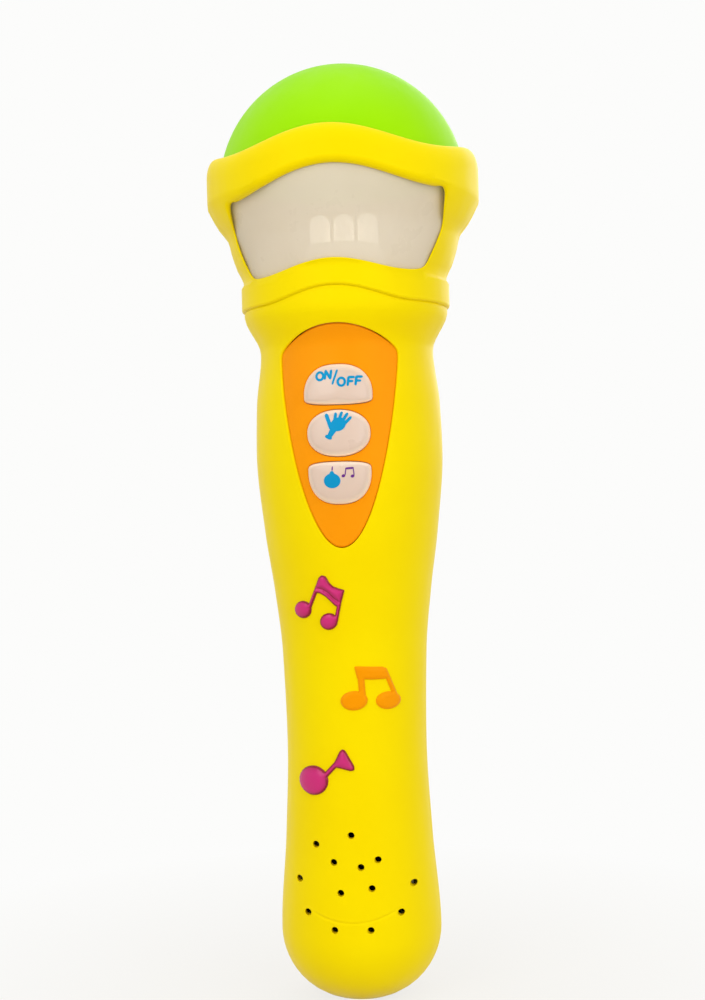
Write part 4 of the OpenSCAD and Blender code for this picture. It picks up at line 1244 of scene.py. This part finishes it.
def cell(x, low, plus_up):
    """The sleeve of a cell, and its can with both ends, as two skins. low is the height of the lower end."""
    body = low + (0 if plus_up else CELL_NUB)
    top = body + CELL_BODY
    sleeve, can = Skin(), Skin()
    edge = CELL_R - CELL_EDGE
    turned(sleeve, [
        arc((edge, body + CELL_EDGE), CELL_EDGE, -90, 0, 6)
        + arc((edge, top - CELL_EDGE), CELL_EDGE, 0, 90, 6),
        [(edge, top), (CELL_CORE_R, top)], [(CELL_CORE_R, top), (CELL_CORE_R, body)],
        [(CELL_CORE_R, body), (edge, body)]], (x, CELL_Y))
    rim = CELL_CORE_R - CELL_CAN_GAP
    peak, shoulder = CELL_BODY + CELL_NUB, CELL_BODY - CELL_SHOULDER
    nub = arc((CELL_NUB_R - CELL_SHOULDER, peak - CELL_SHOULDER), CELL_SHOULDER, 0, 90, 4)
    corners = [(0, CELL_END), (rim - CELL_CAN_EDGE, CELL_END), (rim, CELL_END + CELL_SHOULDER),
               (rim, shoulder), (CELL_NUB_R, shoulder), nub[0]]
    outline = [*zip(corners, corners[1:]), nub, [nub[-1], (0, peak)]]
    if plus_up:
        turned(can, [[(r, low + z) for r, z in part] for part in outline], (x, CELL_Y))
    else:
        turned(can, [[(r, top - z) for r, z in part[::-1]] for part in outline], (x, CELL_Y))
    return sleeve, can


for name, node, x, low, plus_up, foil in (
        ("cell_left", "battery_left", -CELL_X, 57.55, True, CELL_PLUS_UP),
        ("cell_right", "battery_right", CELL_X, 52.45, False, CELL_PLUS_DOWN)):
    sleeve, can = cell(x, low, plus_up)
    sleeve.piece(name, foil, "casing", "cell_can", node)
    can.piece(name + "_can", ZINC, "casing", "cell_can")

for name, finish in (
        ("key_pad", RUBBER), ("circuit_board", BOARD), ("chip_blob", RESIN), ("board_screws", ZINC),
        ("lamp_plate", LAMP_PLATE_PAINTED_GLOW), ("leds", LED_PAINTED_GLOW), ("speaker_frame", ZINC), ("speaker_cone", FILM),
        ("speaker_magnet", ZINC), ("speaker_retainer", WHITE), ("speaker_screws", ZINC),
        ("contact_bridge", CONTACT), ("contact_positive", CONTACT), ("contact_negative", CONTACT),
        ("contact_springs", CONTACT), ("door_screw", ZINC), ("shell_screws", ZINC),
        ("speaker_wires", RED_WIRE), ("battery_wires", BLACK_WIRE), ("lamp_wires", WHITE_WIRE)):
    data = frame["nodes"][name].data
    data.materials.clear()
    data.materials.append(finish)


# Stage: a pale floor, soft lights and the camera

def seen_directly(m):
    """1 for rays from the camera, from glossy surfaces and through clear ones."""
    paths = m.add("ShaderNodeLightPath")
    value = paths["Is Camera Ray"]
    for name in ("Is Glossy Ray", "Is Transmission Ray"):
        value = m.add("ShaderNodeMath", {0: value, 1: paths[name]}, operation="MAXIMUM")["Value"]
    return value


def floor():
    """A wide floor that is paper white where it is seen, a little less so in the toy's shadow."""
    mesh = bpy.data.meshes.new("floor")
    far = 6.0
    mesh.from_pydata([(-far, -far, 0), (far, -far, 0), (far, far, 0), (-far, far, 0)], [], [(0, 1, 2, 3)])
    m = new_material("floor")
    mesh.materials.append(m.finish(Base_Color=srgb(214, 206, 190), Roughness=0.8))
    white = m.span(m.vector("LENGTH", m.spot())["Value"], 0.8, 1.0, 0.03, 0.16)
    share = m.add("ShaderNodeMath", {0: seen_directly(m), 1: white}, operation="MULTIPLY")["Value"]
    glow = m.add("ShaderNodeEmission", {"Color": srgb(*PAPER)})["Emission"]
    m.mix("Material Output", share, m.nodes["Principled BSDF"].outputs["BSDF"], glow)
    plane = linked("floor", mesh)


def lamp(name, spot, aim_z, watts):
    data = bpy.data.lights.new(name, "AREA")
    data.shape = "RECTANGLE"
    data.size = data.size_y = LAMP_SIZE * MM
    data.energy = watts
    light = linked(name, data)
    light.location = Vector(spot) * MM
    light.rotation_euler = (Vector((0, 0, aim_z)) - Vector(spot)).to_track_quat("-Z", "Y").to_euler()


def world():
    """Even white surroundings; the camera and reflections see plain white."""
    m = Nodes(bpy.data.worlds.new("studio"))
    light = m.nodes["Background"]
    m.fill(light, {"Color": (1, 1, 1, 1), "Strength": SKY_LEVEL})
    seen = m.add("ShaderNodeBackground", {"Color": srgb(*PAPER)})
    m.mix("World Output", seen_directly(m), light.outputs["Background"], seen["Background"])
    bpy.context.scene.world = m.owner


def camera():
    data = bpy.data.cameras.new("camera")
    data.lens = CAMERA_LENS
    data.sensor_width = CAMERA_SENSOR
    data.clip_start = 0.01
    eye = linked("camera", data)
    back_way = Vector((math.sin(CAMERA_TURN), -math.cos(CAMERA_TURN), 0))
    right = Vector((math.cos(CAMERA_TURN), math.sin(CAMERA_TURN), 0))
    up = Vector((0, 0, 1))
    rolled_right = right * math.cos(CAMERA_ROLL) - up * math.sin(CAMERA_ROLL)
    rolled_up = up * math.cos(CAMERA_ROLL) + right * math.sin(CAMERA_ROLL)
    spot = (back_way * CAMERA_AWAY + up * CAMERA_Z + right * CAMERA_ASIDE) * MM
    turn = Matrix((rolled_right, rolled_up, back_way)).transposed().to_4x4()
    eye.matrix_world = Matrix.Translation(spot) @ turn
    bpy.context.scene.camera = eye


floor()
for lamp_values in LAMPS:
    lamp(*lamp_values)
world()
camera()
bpy.context.scene.view_settings.view_transform = "Standard"
